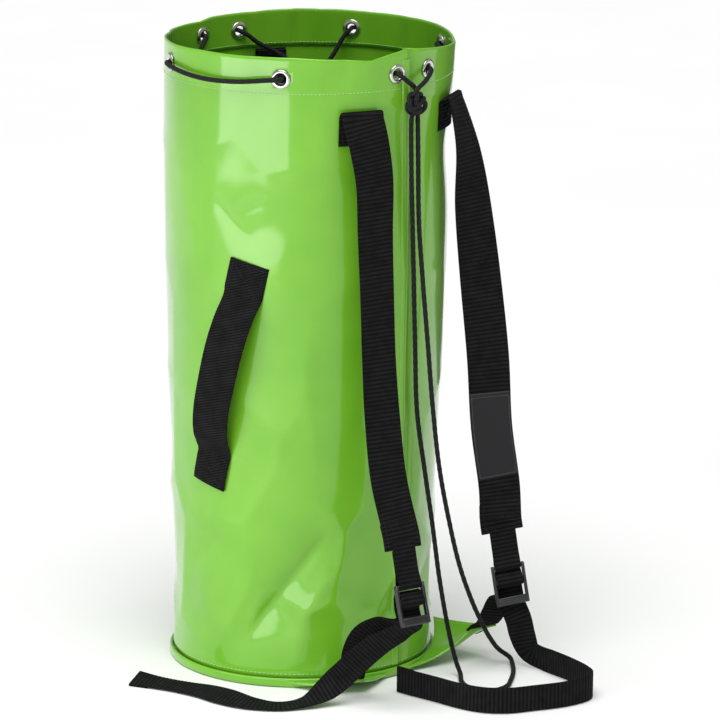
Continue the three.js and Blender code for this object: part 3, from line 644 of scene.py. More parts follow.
def add_stage_sheet(name, corners, material):
    mesh = bpy.data.meshes.new(name)
    mesh.from_pydata(corners, [], [(0, 1, 2, 3)])
    mesh.materials.append(material)
    sheet = add_object(name, mesh)
    return sheet


def add_floor():
    reach = FLOOR_REACH
    corners = [(-reach, -reach, 0), (reach, -reach, 0), (reach, reach, 0), (-reach, reach, 0)]
    add_stage_sheet("floor", corners, studio_floor())


def add_dark_card():
    """A black card off to the right, behind the bag, that the glossy fabric's far edge reflects."""
    near, far = CARD_ENDS
    corners = [(*near, 0), (*far, 0), (*far, CARD_HEIGHT), (*near, CARD_HEIGHT)]
    material, _ = new_material("card_black", (0.02, 0.02, 0.02), 0.9)
    card = add_stage_sheet("dark_card", corners, material)
    card.visible_camera = False
    card.visible_diffuse = False
    card.visible_shadow = False


def add_lights():
    """A pale world, a wide low softbox on the left, and a large soft light overhead."""
    world = bpy.data.worlds.new("studio")
    bpy.context.scene.world = world
    world.use_nodes = True
    background = world.node_tree.nodes["Background"]
    background.inputs["Color"].default_value = (1, 1, 1, 1)
    background.inputs["Strength"].default_value = WORLD_STRENGTH

    key = bpy.data.lights.new("key", "AREA")
    key.shape = "RECTANGLE"
    key.size, key.size_y = KEY_SIZE
    key.energy = KEY_POWER
    lamp = add_object("key", key)
    lamp.location = KEY_PLACE
    lamp.rotation_euler = (Vector(KEY_AIM) - Vector(KEY_PLACE)).to_track_quat("-Z", "Y").to_euler()

    overhead = bpy.data.lights.new("overhead", "SUN")
    overhead.energy = OVERHEAD_STRENGTH
    overhead.angle = math.radians(50)
    lamp = add_object("overhead", overhead)
    lamp.rotation_euler = (math.radians(12), math.radians(-14), 0)
    bpy.context.scene.view_settings.view_transform = "Standard"


# Drawcord ---------------------------------------------------------------------------------------------------

# Millimetres, the same as in the CAD: the cord's standoff outside and inside the wall where it passes an
# eyelet, and its runs between eyelets as (share of the way round, drop below the eyelets, standoff).
CORD_OUT = 3.4
CORD_IN = -6.6
OUTSIDE_RUN = [(0.08, 0.5, 6.2), (0.28, 3, 6.6), (0.5, 4.5, 6.8), (0.72, 3.5, 6.6), (0.92, 0.5, 6.2)]
OUTSIDE_SHORT_RUN = [(0.22, 0, 6.2), (0.5, -1, 6.8), (0.78, 0, 6.2)]
OUTSIDE_FAR_RUN = [(0.09, 1, 6.2), (0.36, 5, 6.8), (0.64, 5, 6.8), (0.91, 1, 6.2)]
INSIDE_RUN = [(0.08, 1, -9), (0.35, 6, -10), (0.65, 6, -10), (0.92, 1, -9)]
INSIDE_HANGING_RUN = [(0.07, 5, -11), (0.3, 20, -20), (0.6, 22, -21), (0.92, 4, -11)]
INSIDE_SLACK_RUN = [
    (0.06, 8, -10), (0.14, 24, -16), (0.28, 42, -22), (0.42, 41, -22),
    (0.55, 30, -19), (0.7, 20, -15), (0.86, 11, -12), (0.94, 4, -10),
]

# The cord's free loop in millimetres: down from the knot, along the floor, and up again. It is the CAD's
# route with a point added at each end, inside the knot.
FLOOR = FLOOR_CORD / MM
BIGHT_ROUTE = [
    (-12, -149.2, 548), (-13, -149, 543), (-11, -147.5, 505), (-5, -145, 436), (0, -143, 380), (3, -143, 320),
    (7, -143, 260), (15, -146, 205), (22, -151, 150), (27, -156, 100), (33, -160, 60), (39, -163, 30),
    (43, -166, 12), (41, -173, FLOOR + 1.4), (29, -186, FLOOR), (20, -202, FLOOR), (20, -219, FLOOR),
    (31, -229, FLOOR), (47, -228, FLOOR), (64, -217, FLOOR), (82, -203, FLOOR), (98, -187, FLOOR + 0.8),
    (106, -175, FLOOR + 4), (99, -168, 14), (82, -172, 30), (66, -177, 48), (52, -175, 75), (41, -169, 110),
    (32, -162, 157), (24, -157, 205), (17, -154, 262), (11, -151, 330), (6, -148, 390), (1, -147, 443),
    (-3, -148.5, 505), (-5, -149, 543), (-5.5, -149.2, 548),
]


def rim_cord_route():
    """From the knot in through the eyelet right of the seam, round the rim, and back behind its own start."""
    bearings = sorted(b % 360 for b in EYELET_BEARINGS)
    runs = [
        INSIDE_RUN, OUTSIDE_FAR_RUN, INSIDE_SLACK_RUN, OUTSIDE_SHORT_RUN,
        INSIDE_HANGING_RUN, OUTSIDE_RUN, INSIDE_RUN,
    ]
    knot_top = KNOT_HEIGHT + 14 * MM
    in_knot = KNOT_HEIGHT + 8 * MM
    route = [
        on_bag(-5, in_knot, 15 * MM), on_bag(-3.2, knot_top, 15.5 * MM),
        on_bag(2.5, knot_top + 6.5 * MM, 12 * MM),
    ]
    for i, bearing in enumerate(bearings):
        crossing = [on_bag(bearing, EYELET_HEIGHT, standoff * MM) for standoff in (CORD_OUT, CORD_IN)]
        route += crossing if i % 2 == 0 else crossing[::-1]
        if i < len(runs):
            span = bearings[i + 1] - bearing
            for share, drop, standoff in runs[i]:
                route.append(on_bag(bearing + span * share, EYELET_HEIGHT - drop * MM, standoff * MM))
    return [
        *route, on_bag(354.8, knot_top + 6.5 * MM, 7.5 * MM), on_bag(357.4, knot_top, 10.2 * MM),
        on_bag(358.2, in_knot, 10.8 * MM),
    ]


def braid_radius(angle, length):
    """The cord's surface: strands wind both ways, and the upper one stands proud."""
    turn = 2 * math.pi * length / (8 * MM)
    proud = max(math.cos(4 * angle + turn), math.cos(4 * angle - turn))
    return CORD_DIAMETER / 2 * (0.93 + 0.07 * proud)


def add_cord(part, route, material):
    places, path = resample(smooth_curve(route, 12), 1.2 * MM)
    vertices, faces, uvs = tube_mesh(path, braid_radius, 16)
    cord = new_piece(f"drawcord_{part}_visual", vertices, faces, material, "cord", "bag", uvs)
    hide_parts(f"drawcord_{part}")


def add_knot(material):
    """The doubled overhand knot that joins the cord's ends: interlaced turns, bound by one round them."""
    centre = on_bag(KNOT_BEARING, KNOT_HEIGHT, KNOT_STANDOFF)
    across, up, out = sideways(KNOT_BEARING), Vector((0, 0, 1)), outward(KNOT_BEARING)
    turns = []
    for depth, turn in ((-2.4, 0.2), (2.4, 1.3)):
        path = []
        for t in np.linspace(0, 2 * math.pi, 121):
            reach = 5.9 + 2.9 * math.cos(3 * t)
            x, y = reach * math.cos(2 * t + turn), reach * math.sin(2 * t + turn) * 1.1
            path.append((x, y, depth + 2.7 * math.sin(3 * t)))
        turns.append(path)
    turns.append([
        (8.2 * math.cos(t), 3.6 * math.cos(t) + 1.5 * math.sin(2 * t), 5.4 * math.sin(t))
        for t in np.linspace(0, 2 * math.pi, 61)
    ])
    parts, uvs = [], []
    for turn in turns:
        path = [centre + (across * x + up * y + out * z) * MM for x, y, z in turn]
        made, quads, along = tube_mesh(np.array(path), braid_radius, 12)
        parts.append((made, quads))
        uvs += along
    knot = new_piece("drawcord_knot_visual", *joined(parts), material, "cord", "bag", uvs)
    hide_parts("drawcord_knot")
    return knot


def add_drawcord():
    material = braided_cord()
    knot = add_knot(material)
    add_cord("rim", rim_cord_route(), material)
    add_cord("bight", [Vector(point) * MM for point in BIGHT_ROUTE], material)


# Stitching --------------------------------------------------------------------------------------------------

STITCH_RADIUS = 0.38 * MM


def stitch_mesh(starts_and_ends, radius=STITCH_RADIUS):
    """Small rounded stitches, each from one point to another, as vertices and faces."""
    sides = 6
    shape = [(0.0, 0.25), (0.18, 0.9), (0.5, 1.1), (0.82, 0.9), (1.0, 0.25)]
    vertices, faces = [], []
    for start, end in starts_and_ends:
        start, end = Vector(start), Vector(end)
        forward = (end - start).normalized()
        side = forward.orthogonal().normalized()
        up = forward.cross(side)
        faces += capped_tube_faces(len(shape), sides, first=len(vertices))
        for share, size in shape:
            for angle in round_angles(sides):
                reach = (side * math.cos(angle) + up * math.sin(angle)) * radius * size
                vertices.append(start.lerp(end, share) + reach)
    return vertices, faces


def stitches_along(points, pitch, share=0.68):
    """Starts and ends of even stitches along a line of points."""
    places, path = resample(np.array([tuple(p) for p in points]), pitch)
    return [(a, a + (b - a) * share) for a, b in zip(path[:-1], path[1:])]


def add_stitches(name, rows, pitch, material, body="bag", slot="webbing", radius=STITCH_RADIUS):
    """Rows of stitches as one piece."""
    pairs = [pair for row in rows for pair in stitches_along(row, pitch)]
    new_piece(name, *stitch_mesh(pairs, radius), material, slot, body)


# Bag body ---------------------------------------------------------------------------------------------------

HEM_INSET = 2.5 * MM


def wall_profile():
    """The fabric from the base seam up the outside, over the rim, and down the hem: (height, inset)."""
    foot = [(0.006, 2.2 * MM), (0.0085, 1.6 * MM), (0.0105, 0.5 * MM)]
    outside = [(z, 0) for z in np.linspace(0.013, HEIGHT - 0.0026, 146)]
    fold_radius = HEM_INSET / 2
    fold = [
        (HEIGHT - fold_radius + fold_radius * math.sin(a), fold_radius * (1 - math.cos(a)))
        for a in np.linspace(0, math.pi, 9)[1:-1]
    ]
    inside = [(z, HEM_INSET) for z in np.linspace(HEIGHT - 0.0026, HEIGHT - HEM_DEPTH, 10)]
    return [*foot, *outside, *fold, *inside]


def wall_columns():
    """Bearings from the seam, closer together beside it."""
    beside = [0.0, 0.35, 0.9, 1.7]
    rest = np.linspace(2.8, 357.2, COLUMNS)
    return np.array([*beside, *rest, *(360 - b for b in reversed(beside[1:]))])


def add_body(material):
    """One shell: the tube, its rounded rim and its folded hem, with a round hole at each eyelet."""
    profile = wall_profile()
    heights = np.array([z for z, _ in profile])[:, None]
    insets = np.array([inset for _, inset in profile])[:, None]
    bearings = wall_columns()[None, :] + seam_bearing(heights)
    heights = heights + 0 * bearings
    rows, columns = bearings.shape
    faces = strip_faces(rows, columns, closed=True)

    flat_b, flat_z = bearings.ravel(), heights.ravel()
    for eyelet in EYELET_BEARINGS:
        across = np.radians(bearing_gap(flat_b, eyelet)) * RIM_RADIUS
        rise = flat_z - EYELET_HEIGHT
        distance = np.hypot(across, rise)
        near = set(np.nonzero(distance < 0.02)[0].tolist())
        around = [f for f in faces if f[0] in near]
        cut = {f for f in around if math.hypot(across[list(f)].mean(), rise[list(f)].mean()) < EYELET_HOLE}
        faces = [f for f in faces if f not in cut]
        for vertex in {v for f in cut for v in f}:
            scale = EYELET_HOLE / max(distance[vertex], 1e-5)
            flat_b[vertex] = eyelet + math.degrees(across[vertex] * scale / RIM_RADIUS)
            flat_z[vertex] = EYELET_HEIGHT + rise[vertex] * scale

    radius = body_radius(flat_z) + skin_offset(flat_b, flat_z) - np.repeat(insets.ravel(), columns)
    near_rim = np.clip((flat_z - (HEIGHT - 0.008)) / 0.008, 0, 1)
    angle = np.radians(flat_b)
    z = flat_z + rim_rise(flat_b) * near_rim
    points = np.stack([radius * np.sin(angle), -radius * np.cos(angle), z], axis=1)
    body = new_piece("bag_shell", points, faces, material, "tarpaulin")
    thicken = body.modifiers.new("thickness", "SOLIDIFY")
    thicken.thickness = WALL
    thicken.offset = -1
    apply_modifiers(body)
    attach(body, "bag")
    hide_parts("body_panel", "hem_facing")


def add_seam_strip(material):
    """The lap of the back seam: its free edge stands over the groove, and its other edge is welded flat."""
    section = [(-0.007, -0.2), (-0.004, 0.3), (-0.001, 0.8), (0.0018, 0.9), (0.0025, 0.5), (0.0016, 0.0)]
    vertices = []
    heights = np.linspace(0.011, HEIGHT - 0.004, 120)
    for z in heights:
        for across, standoff in section:
            bearing = seam_bearing(z) + math.degrees(across / RIM_RADIUS)
            edge = min(bearing, seam_bearing(z) - 0.05)
            radius = float(body_radius(z) + skin_offset(edge, z)) + standoff * MM
            vertices.append(polar(bearing, radius, z))
    faces = strip_faces(len(heights), len(section), closed=True)
    strip = new_piece("seam_lap", vertices, faces, material, "tarpaulin", "bag")
    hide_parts("seam_strip")


def add_welt(material):
    """The binding round the base: a band of fabric folded over the seam, a little uneven."""
    sides = 14
    vertices = []
    bearings = np.linspace(0, 360, 180, endpoint=False)
    for bearing in bearings:
        wobble = noise.noise(outward(bearing) * 5) * 0.5 * MM
        for angle in round_angles(sides):
            across = squared_off(math.cos(angle), 0.6) * 1.5 * MM
            up = squared_off(math.sin(angle), 0.6) * (4.1 * MM + wobble / 2)
            vertices.append(polar(bearing, BASE_RADIUS + 1.2 * MM + across + wobble / 2, 4.8 * MM + up))
    count = len(bearings)
    faces = []
    for j in range(count):
        for i in range(sides):
            low, high = j * sides, (j + 1) % count * sides
            k = (i + 1) % sides
            faces.append((low + i, high + i, high + k, low + k))
    welt = new_piece("base_welt", vertices, faces, material, "tarpaulin", "bag")
    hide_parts("base_binding")


def add_eyelets(material):
    """A turned grommet through both layers of each hole, with the washer it is rolled over inside."""
    outline = [
        (8.7, 0.5), (8.9, 0.8), (8.6, 1.3), (7.9, 1.75), (7.0, 1.95), (6.1, 1.85), (5.3, 1.35),
        (4.8, 0.5), (4.6, -0.8), (4.6, -3.4), (4.9, -4.2), (5.6, -4.7), (6.4, -4.7), (7.0, -4.3),
        (8.2, -4.1), (8.8, -3.7), (8.7, -3.2), (6.0, -3.0), (5.4, -2.6), (5.4, 0.2), (6.0, 0.5),
    ]
    sides = 40
    for i, bearing in enumerate(EYELET_BEARINGS):
        centre = on_bag(bearing, EYELET_HEIGHT, 0)
        across, up, out = sideways(bearing), Vector((0, 0, 1)), outward(bearing)
        vertices = []
        for radius, height in [*outline, outline[0]]:
            for angle in round_angles(sides):
                round_it = across * math.cos(angle) + up * math.sin(angle)
                vertices.append(centre + (round_it * radius + out * height) * MM)
        faces = strip_faces(len(outline) + 1, sides, closed=True)
        eyelet = new_piece(f"grommet_{i + 1}", vertices, faces, material, "nickel", "bag")
        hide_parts(f"eyelet_{i + 1}", f"eyelet_washer_{i + 1}")


def add_body_stitches(material):
    """The hem's line of stitches outside and inside, and the line above the base binding."""
    bearings = np.linspace(-178, 182, 241)
    hem = HEIGHT - STITCH_DROP
    outside = [on_skin(b, hem, 0.15 * MM) for b in bearings]
    inside = [on_skin(b, hem, -HEM_INSET - 0.15 * MM) for b in bearings]
    add_stitches("hem_stitches", [outside, inside], 3.6 * MM, material, slot="tarpaulin", radius=0.33 * MM)
    foot = [on_skin(b, 0.0125, 0.1 * MM) for b in bearings]
    add_stitches("base_stitches", [foot], 4.2 * MM, material, slot="tarpaulin", radius=0.25 * MM)


# Webbing ----------------------------------------------------------------------------------------------------

class Webbing:
    """A band of webbing along stations, each (point, direction across it, curl across it in 1/m)."""

    def __init__(self, stations, width, thickness, step=WEB_STEP):
        steps = 8
        centre = smooth_curve([s[0] for s in stations], steps)
        across = smooth_curve([s[1] for s in stations], steps, even=True)
        curl = [float(s[2]) for s in stations]
        curls = np.interp(np.arange(len(centre)) / steps, np.arange(len(curl)), curl)[:, None]
        self.along, self.centre, self.across, curls = resample(centre, step, across, curls)
        self.curl = curls[:, 0]
        self.tangent = np.gradient(self.centre, axis=0)
        self.tangent /= np.linalg.norm(self.tangent, axis=1)[:, None]
        self.across -= self.tangent * np.sum(self.across * self.tangent, axis=1)[:, None]
        self.across /= np.linalg.norm(self.across, axis=1)[:, None]
        self.normal = np.cross(self.tangent, self.across)
        self.width = width
        self.thickness = thickness
        self.length = self.along[-1]

    def point(self, length, share, lift):
        """The point at that length along, that share of the width from the middle, lifted off the middle."""
        i = int(np.clip(np.searchsorted(self.along, length), 0, len(self.along) - 1))
        return self.at(i, share, lift)

    def at(self, i, share, lift):
        x = share * self.width
        bend = -self.curl[i] * x * x / 2
        return self.centre[i] + self.across[i] * x + self.normal[i] * (lift + bend)

    def cut(self, first, last):
        """The stretch of the band between two of its steps."""
        part = copy.copy(self)
        for name in ("along", "centre", "across", "curl", "tangent", "normal"):
            setattr(part, name, getattr(self, name)[first:last + 1])
        return part

    def mesh(self, slant=0.0, rib_depth=0.34 * MM, pitch=RIB_PITCH, caps=(True, True)):
        """Vertices, faces and UVs of the band, with its cross ribs and its rounded selvedges."""
        columns = [-0.5, -0.493, -0.475, -0.44, -0.3, -0.15, 0, 0.15, 0.3, 0.44, 0.475, 0.493, 0.5]
        rounding = [0.30, 0.72, 0.95, 1.0, 1, 1, 1, 1, 1, 1.0, 0.95, 0.72, 0.30]
        vertices, uvs = [], []
        for i, length in enumerate(self.along):
            for side in (1, -1):
                pairs = list(zip(columns, rounding))
                for share, size in pairs if side == 1 else reversed(pairs):
                    rib = abs(math.sin(math.pi * (length + slant * share * self.width) / pitch)) ** 0.6
                    half = (self.thickness / 2 - rib_depth * (1 - rib)) * size
                    vertices.append(self.at(i, share, side * half))
                    uvs.append((share * self.width, length))
        around = 2 * len(columns)
        faces = [tuple(reversed(f)) for f in strip_faces(len(self.along), around, closed=True)]
        last = (len(self.along) - 1) * around
        for i in range(len(columns) - 1):
            k = around - 1 - i
            if caps[0]:
                faces.append((i, i + 1, k - 1, k))
            if caps[1]:
                faces.append((last + i + 1, last + i, last + k, last + k - 1))
        return vertices, faces, uvs

    def piece(self, name, material, body=None, **ribs):
        vertices, faces, uvs = self.mesh(**ribs)
        return new_piece(name, vertices, faces, material, "webbing", body, uvs)

    def box_rows(self, start, end, margin, side=1, crossed=True):
        """Lines of stitches for a box, with or without its cross, between two lengths along the band."""
        lift = side * (self.thickness / 2 + 0.1 * MM)
        reach = 0.5 - margin / self.width
        corners = [(start, -reach), (start, reach), (end, reach), (end, -reach), (start, -reach)]
        lines = [(corners[i], corners[i + 1]) for i in range(4)]
        if crossed:
            lines += [(corners[0], corners[2]), (corners[1], corners[3])]
        steps = np.linspace(0, 1, 20)
        return [
            [self.point(a[0] + (b[0] - a[0]) * t, a[1] + (b[1] - a[1]) * t, lift) for t in steps]
            for a, b in lines
        ]


def folded_end(band, length, every, side):
    """The band's last stretch as a second layer on one of its sides, with a station every few steps."""
    count = len(band.along)
    lift = side * band.thickness * 0.95
    first = count - 1 - every * (round(length / WEB_STEP) // every)
    stations = [(band.at(i, 0, lift), band.across[i], 0) for i in range(first, count, every)]
    return Webbing(stations, band.width, band.thickness)


# Shoulder straps --------------------------------------------------------------------------------------------

# Millimetres, and the CAD's values apart from the first two points of each anchor, where it is sewn on its
# tab. bow: (bearing, standoff, share of the way up from hinge to fold, width direction).
# anchor and tail: (x, y, z, direction across the webbing).
SIDES = {
    "left": {
        "bearing": -24,
        "bow": [
            (-22.3, 13.8, 0.935, -20), (-20.7, 17.6, 0.858, -13), (-20.3, 19.3, 0.744, -8),
            (-20, 24.9, 0.604, -5), (-20, 32.4, 0.469, -5), (-20, 41.8, 0.36, -8), (-19.7, 58.9, 0.22, -10),
        ],
        "hinge": (-66.7, -208.5, 120.5),
        "up_the_strap": (0.05, 0.27, 0.96),
        "facing": -10,
        "tab_bearing": -27,
        "tab_tip": (-70, -138, 13),
        "tab_tip_facing": -34,
        "tab_rise": 0,
        "anchor": [
            (-66.5, -130.5, 13, (0.83, -0.56, 0)), (-70, -138, 16, (0.83, -0.56, 0)),
            (-72, -143, 30, (0.8, -0.6, 0)), (-76, -150, 48, (0.75, -0.66, 0)),
            (-77, -163, 66, (0.6, -0.75, -0.2)), (-72, -184, 80, (0.75, -0.6, -0.3)),
        ],
        "tail": [
            (-76, -205, 76, (0.85, -0.45, -0.25)), (-84, -187, 63, (0.7, -0.6, -0.4)),
            (-92, -170, 46, (0.6, -0.7, -0.4)), (-99, -155, 29, (0.45, -0.8, -0.35)),
            (-109, -142, 14, (0.05, -0.95, -0.3)), (-124, -133, 4.5, (-0.35, -0.93, 0)),
            (-145, -120, 1.8, (-0.55, -0.83, 0)), (-161, -98, 3.2, (-0.85, -0.5, -0.12)),
            (-168, -70, 5, (-0.96, -0.05, -0.28)), (-168, -44, 4.2, (-0.97, -0.05, -0.2)),
            (-172, -16, 3, (-0.97, -0.2, -0.1)), (-180, 10, 3.2, (-0.93, -0.33, -0.12)),
            (-189, 32, 5, (-0.9, -0.36, -0.25)),
        ],
    },
    "right": {
        "bearing": 27,
        "bow": [
            (25.5, 22, 0.899, 13), (25, 29.6, 0.776, -12), (25, 39.9, 0.619, -28), (25, 50.8, 0.452, -36),
            (25, 58, 0.302, -32), (25, 69.3, 0.172, -32),
        ],
        "hinge": (87, -187.8, 103.3),
        "up_the_strap": (-0.08, 0.14, 0.98),
        "facing": -34,
        "tab_bearing": 30,
        "tab_tip": (97, -149, 33),
        "tab_tip_facing": -20,
        "tab_rise": 22,
        "anchor": [
            (89, -139.6, 27.4, (0.9, -0.33, 0.25)), (94, -146, 33.2, (0.93, -0.35, 0.1)),
            (97, -154.5, 40, (0.85, -0.5, 0.1)), (96, -163, 52, (0.85, -0.52, 0)),
            (95, -172, 66, (0.84, -0.55, 0)),
        ],
        "tail": [
            (96, -195, 51, (0.78, -0.62, 0)), (101, -196, 34, (0.6, -0.78, 0.1)),
            (107, -199, 18, (0.2, -0.85, 0.45)), (110, -212, 13.2, (-0.1, -0.3, 0.95)),
            (107, -234, 13.2, (-0.1, -0.2, 0.97)), (102, -262, 13.2, (-0.1, -0.1, 1)),
            (94, -287, 13.2, (-0.05, -0.05, 1)), (86, -301, 13.2, (0, 0, 1)), (74, -308, 13.2, (0, 0, 1)),
            (46, -306, 13.2, (0, 0, 1)), (14, -293, 13.2, (0, 0, 1)), (-8, -282, 13.2, (0, 0, 1)),
            (-22, -266, 13.2, (0, 0, 1)), (-29, -243, 13.2, (0, 0, 1)), (-31, -211, 13.2, (0, 0, 1)),
            (-33, -185, 13.2, (0, 0, 1)), (-34, -163, 13.2, (0, 0, 1)),
        ],
    },
}

# Each adjuster run is cut where it follows its strap alone: this far along it from the lock. Below the last
# height the tail lies on the floor.
ANCHOR_CUT = 34 * MM
TAIL_CUT = 46 * MM
TAIL_LIES_BELOW = 28 * MM

# Millimetres in the lock's frame, as (up the strap, away from the bag). The wrap and the anchor fill the
# lock's window more than their CAD solids, which keep clear of each other.
WRAP_ROUTE = [
    (-4.7, -4.4), (-5.2, -2.0), (-7.0, 0.5), (-9.8, 2.4), (-12.4, 3.2), (-14.8, 3.3), (-17.3, 2.9),
    (-18.7, 1.0), (-19, -1.4), (-19.3, -3.8),
]
ANCHOR_IN_LOCK = [(-29, -12), (-18, -10.6), (-10, -9.4), (-6, -7)]
TAIL_IN_LOCK = [(-19.4, -4.9), (-21.9, -6.3), (-28, -5.7), (-36, -4.4)]

# The lock's rails run through these points. Its bars are (y, z, half height, half depth, squareness): the
# top bar, the middle bar, the lifting lip and its top edge, and three grip ridges.
LOCK_RAIL_ROUTE = [
    (1.9, 0), (1.2, 0), (-6, 0.3), (-14.5, 0.5), (-24, 1.0), (-31, 1.8), (-36.2, 2.3), (-36.8, 2.4),
]
LOCK_BARS = [
    (0, 0, 1.7, 1.7, 0.9), (-14.5, 0, 2.5, 1.5, 0.5), (-33, 2.4, 3.9, 1.7, 0.5), (-29.6, 3.3, 0.8, 1.2, 0.8),
    *((y, 4.15, 0.45, 0.35, 0.9) for y in (-31.4, -33.2, -35.0)),
]


def lock_frame(side):
    """The ladder lock's frame: X across, Y up the strap, Z away from the bag."""
    up = Vector(side["up_the_strap"]).normalized()
    across = sideways(side["facing"])
    across = (across - up * across.dot(up)).normalized()
    away = across.cross(up)
    frame_matrix = Matrix((across, up, away)).transposed().to_4x4()
    frame_matrix.translation = Vector(side["hinge"]) * MM
    return frame_matrix


def in_lock(lock, y, z, x=0.0):
    return lock @ (Vector((x, y, z)) * MM)


def lock_across(lock):
    return lock.to_3x3() @ Vector((1, 0, 0))


def strap_stations(side, lock):
    """Up the sewn end, over the fold, down the bow, and into the lock's loop."""
    flat = sideways(side["bearing"])
    wall_curl = 1 / RIM_RADIUS
    sewn = [
        (on_skin(side["bearing"], FOLD_HEIGHT - drop, 1.5 * MM), flat, -wall_curl)
        for drop in (0.030, 0.020, 0.010, 0.003)
    ]
    fold = [
        (on_bag(side["bearing"], FOLD_HEIGHT + rise * MM, standoff * MM), flat, 0)
        for standoff, rise in ((2.6, 0.4), (4.6, 2.2), (6.9, 1.5), (9.4, -5))
    ]
    low = side["hinge"][2] * MM
    bow = [
        (on_bag(bearing, low + share * (FOLD_HEIGHT - low), standoff * MM), sideways(facing), 0)
        for bearing, standoff, share, facing in side["bow"]
    ]
    across = lock_across(lock)
    end = [(in_lock(lock, LOOP_LENGTH / MM + rise, 0), across, 0) for rise in (12, 4, 0.6)]
    return [*sewn, *fold, *bow, *end]


def add_strap(name, side, materials):
    lock = lock_frame(side)
    strap = Webbing(strap_stations(side, lock), STRAP_WIDTH, STRAP_THICKNESS)
    piece = strap.piece(f"{name}_strap_webbing", materials["webbing"])
    body = f"{name}_strap"
    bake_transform(piece)
    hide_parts(f"{name}_strap_sewn_end", f"{name}_shoulder_strap")

    # The folded end over the narrow loop: a second layer on the strap's back, sewn with two rows.
    under = folded_end(strap, STRAP_END_FOLD, 10, -1)
    under.piece(f"{name}_strap_end_fold", materials["webbing"], body)
    rows = strap.box_rows(strap.length - 0.026, strap.length - 0.004, 3.5 * MM, crossed=False)
    rows += [[strap.point(strap.length - 0.015, share, STRAP_THICKNESS / 2) for share in (-0.4, 0, 0.4)]]
    add_stitches(f"{name}_strap_end_stitches", rows, 3 * MM, materials["black_thread"], body)
    box = strap.box_rows(0.003, SEWN_LENGTH - 0.004, 3.5 * MM, side=-1)
    add_stitches(f"{name}_strap_box_stitches", box, 3 * MM, materials["black_thread"])

    add_lock_loop(name, lock, materials)
    add_ladder_lock(name, lock, materials["plastic"])
    add_adjuster(name, side, lock, materials)
    return strap


def add_lock_loop(name, lock, materials):
    """The narrow loop that holds the lock: down the front, round its top bar, and up the back."""
    across = lock_across(lock)
    reach = 1.8 + 0.4 + NARROW_THICKNESS / MM / 2
    arc = [(-math.sin(a) * reach, math.cos(a) * reach) for a in np.linspace(0, math.pi, 7)]
    front = [(LOOP_LENGTH / MM + 8, 1.75), (LOOP_LENGTH / MM, 0.9), (11, 1.1), (4, 2.6)]
    back = [(y, -z) for y, z in reversed(front[1:])]
    stations = [(in_lock(lock, y, z), across, 0) for y, z in [*front, *arc, *back]]
    loop = Webbing(stations, NARROW_WIDTH, NARROW_THICKNESS)
    piece = loop.piece(f"{name}_loop_webbing", materials["webbing"], f"{name}_strap")
    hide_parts(f"{name}_lock_loop")


def rounded_bar(path, half_width, half_depth, width_axis, power=0.55, taper=0.35):
    """A bar with a rounded rectangular section along a path, closed with softened ends."""
    path = np.array([tuple(p) for p in path])
    tangents = np.gradient(path, axis=0)
    sides = 20
    count = len(path)
    vertices = []
    for i, (point, tangent) in enumerate(zip(path, tangents)):
        forward = Vector(tangent).normalized()
        wide = (width_axis - forward * width_axis.dot(forward)).normalized()
        deep = forward.cross(wide)
        size = 1 - taper if i in (0, count - 1) else 1
        for angle in round_angles(sides):
            x = squared_off(math.cos(angle), power) * half_width * size
            y = squared_off(math.sin(angle), power) * half_depth * size
            vertices.append(Vector(point) + wide * x + deep * y)
    return vertices, capped_tube_faces(count, sides)


def soften_ends(start, end, inset=0.5 * MM):
    """A straight path whose first and last steps are short, so that its ends round off."""
    start, end = Vector(start), Vector(end)
    forward = (end - start).normalized() * inset
    return [start, start + forward, start.lerp(end, 0.5), end - forward, end]


def add_ladder_lock(name, lock, material):
    """Two side rails joined by a top bar, a middle bar and a wide lifting lip with grip ridges."""
    across = lock_across(lock)
    up = lock.to_3x3() @ Vector((0, 1, 0))
    rail_x = NARROW_WIDTH / MM / 2 + 0.7 + 1.4
    parts = []
    for x in (-rail_x, rail_x):
        rail = [in_lock(lock, y, z, x) for y, z in LOCK_RAIL_ROUTE]
        parts.append(rounded_bar(rail, 1.45 * MM, 2.6 * MM, across))
    for y, z, half_height, half_depth, power in LOCK_BARS:
        path = soften_ends(in_lock(lock, y, z, -rail_x), in_lock(lock, y, z, rail_x))
        parts.append(rounded_bar(path, half_height * MM, half_depth * MM, up, power))
    piece = new_piece(f"{name}_lock_moulding", *joined(parts), material, "lock_plastic", f"{name}_lock")
    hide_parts(f"{name}_ladder_lock")


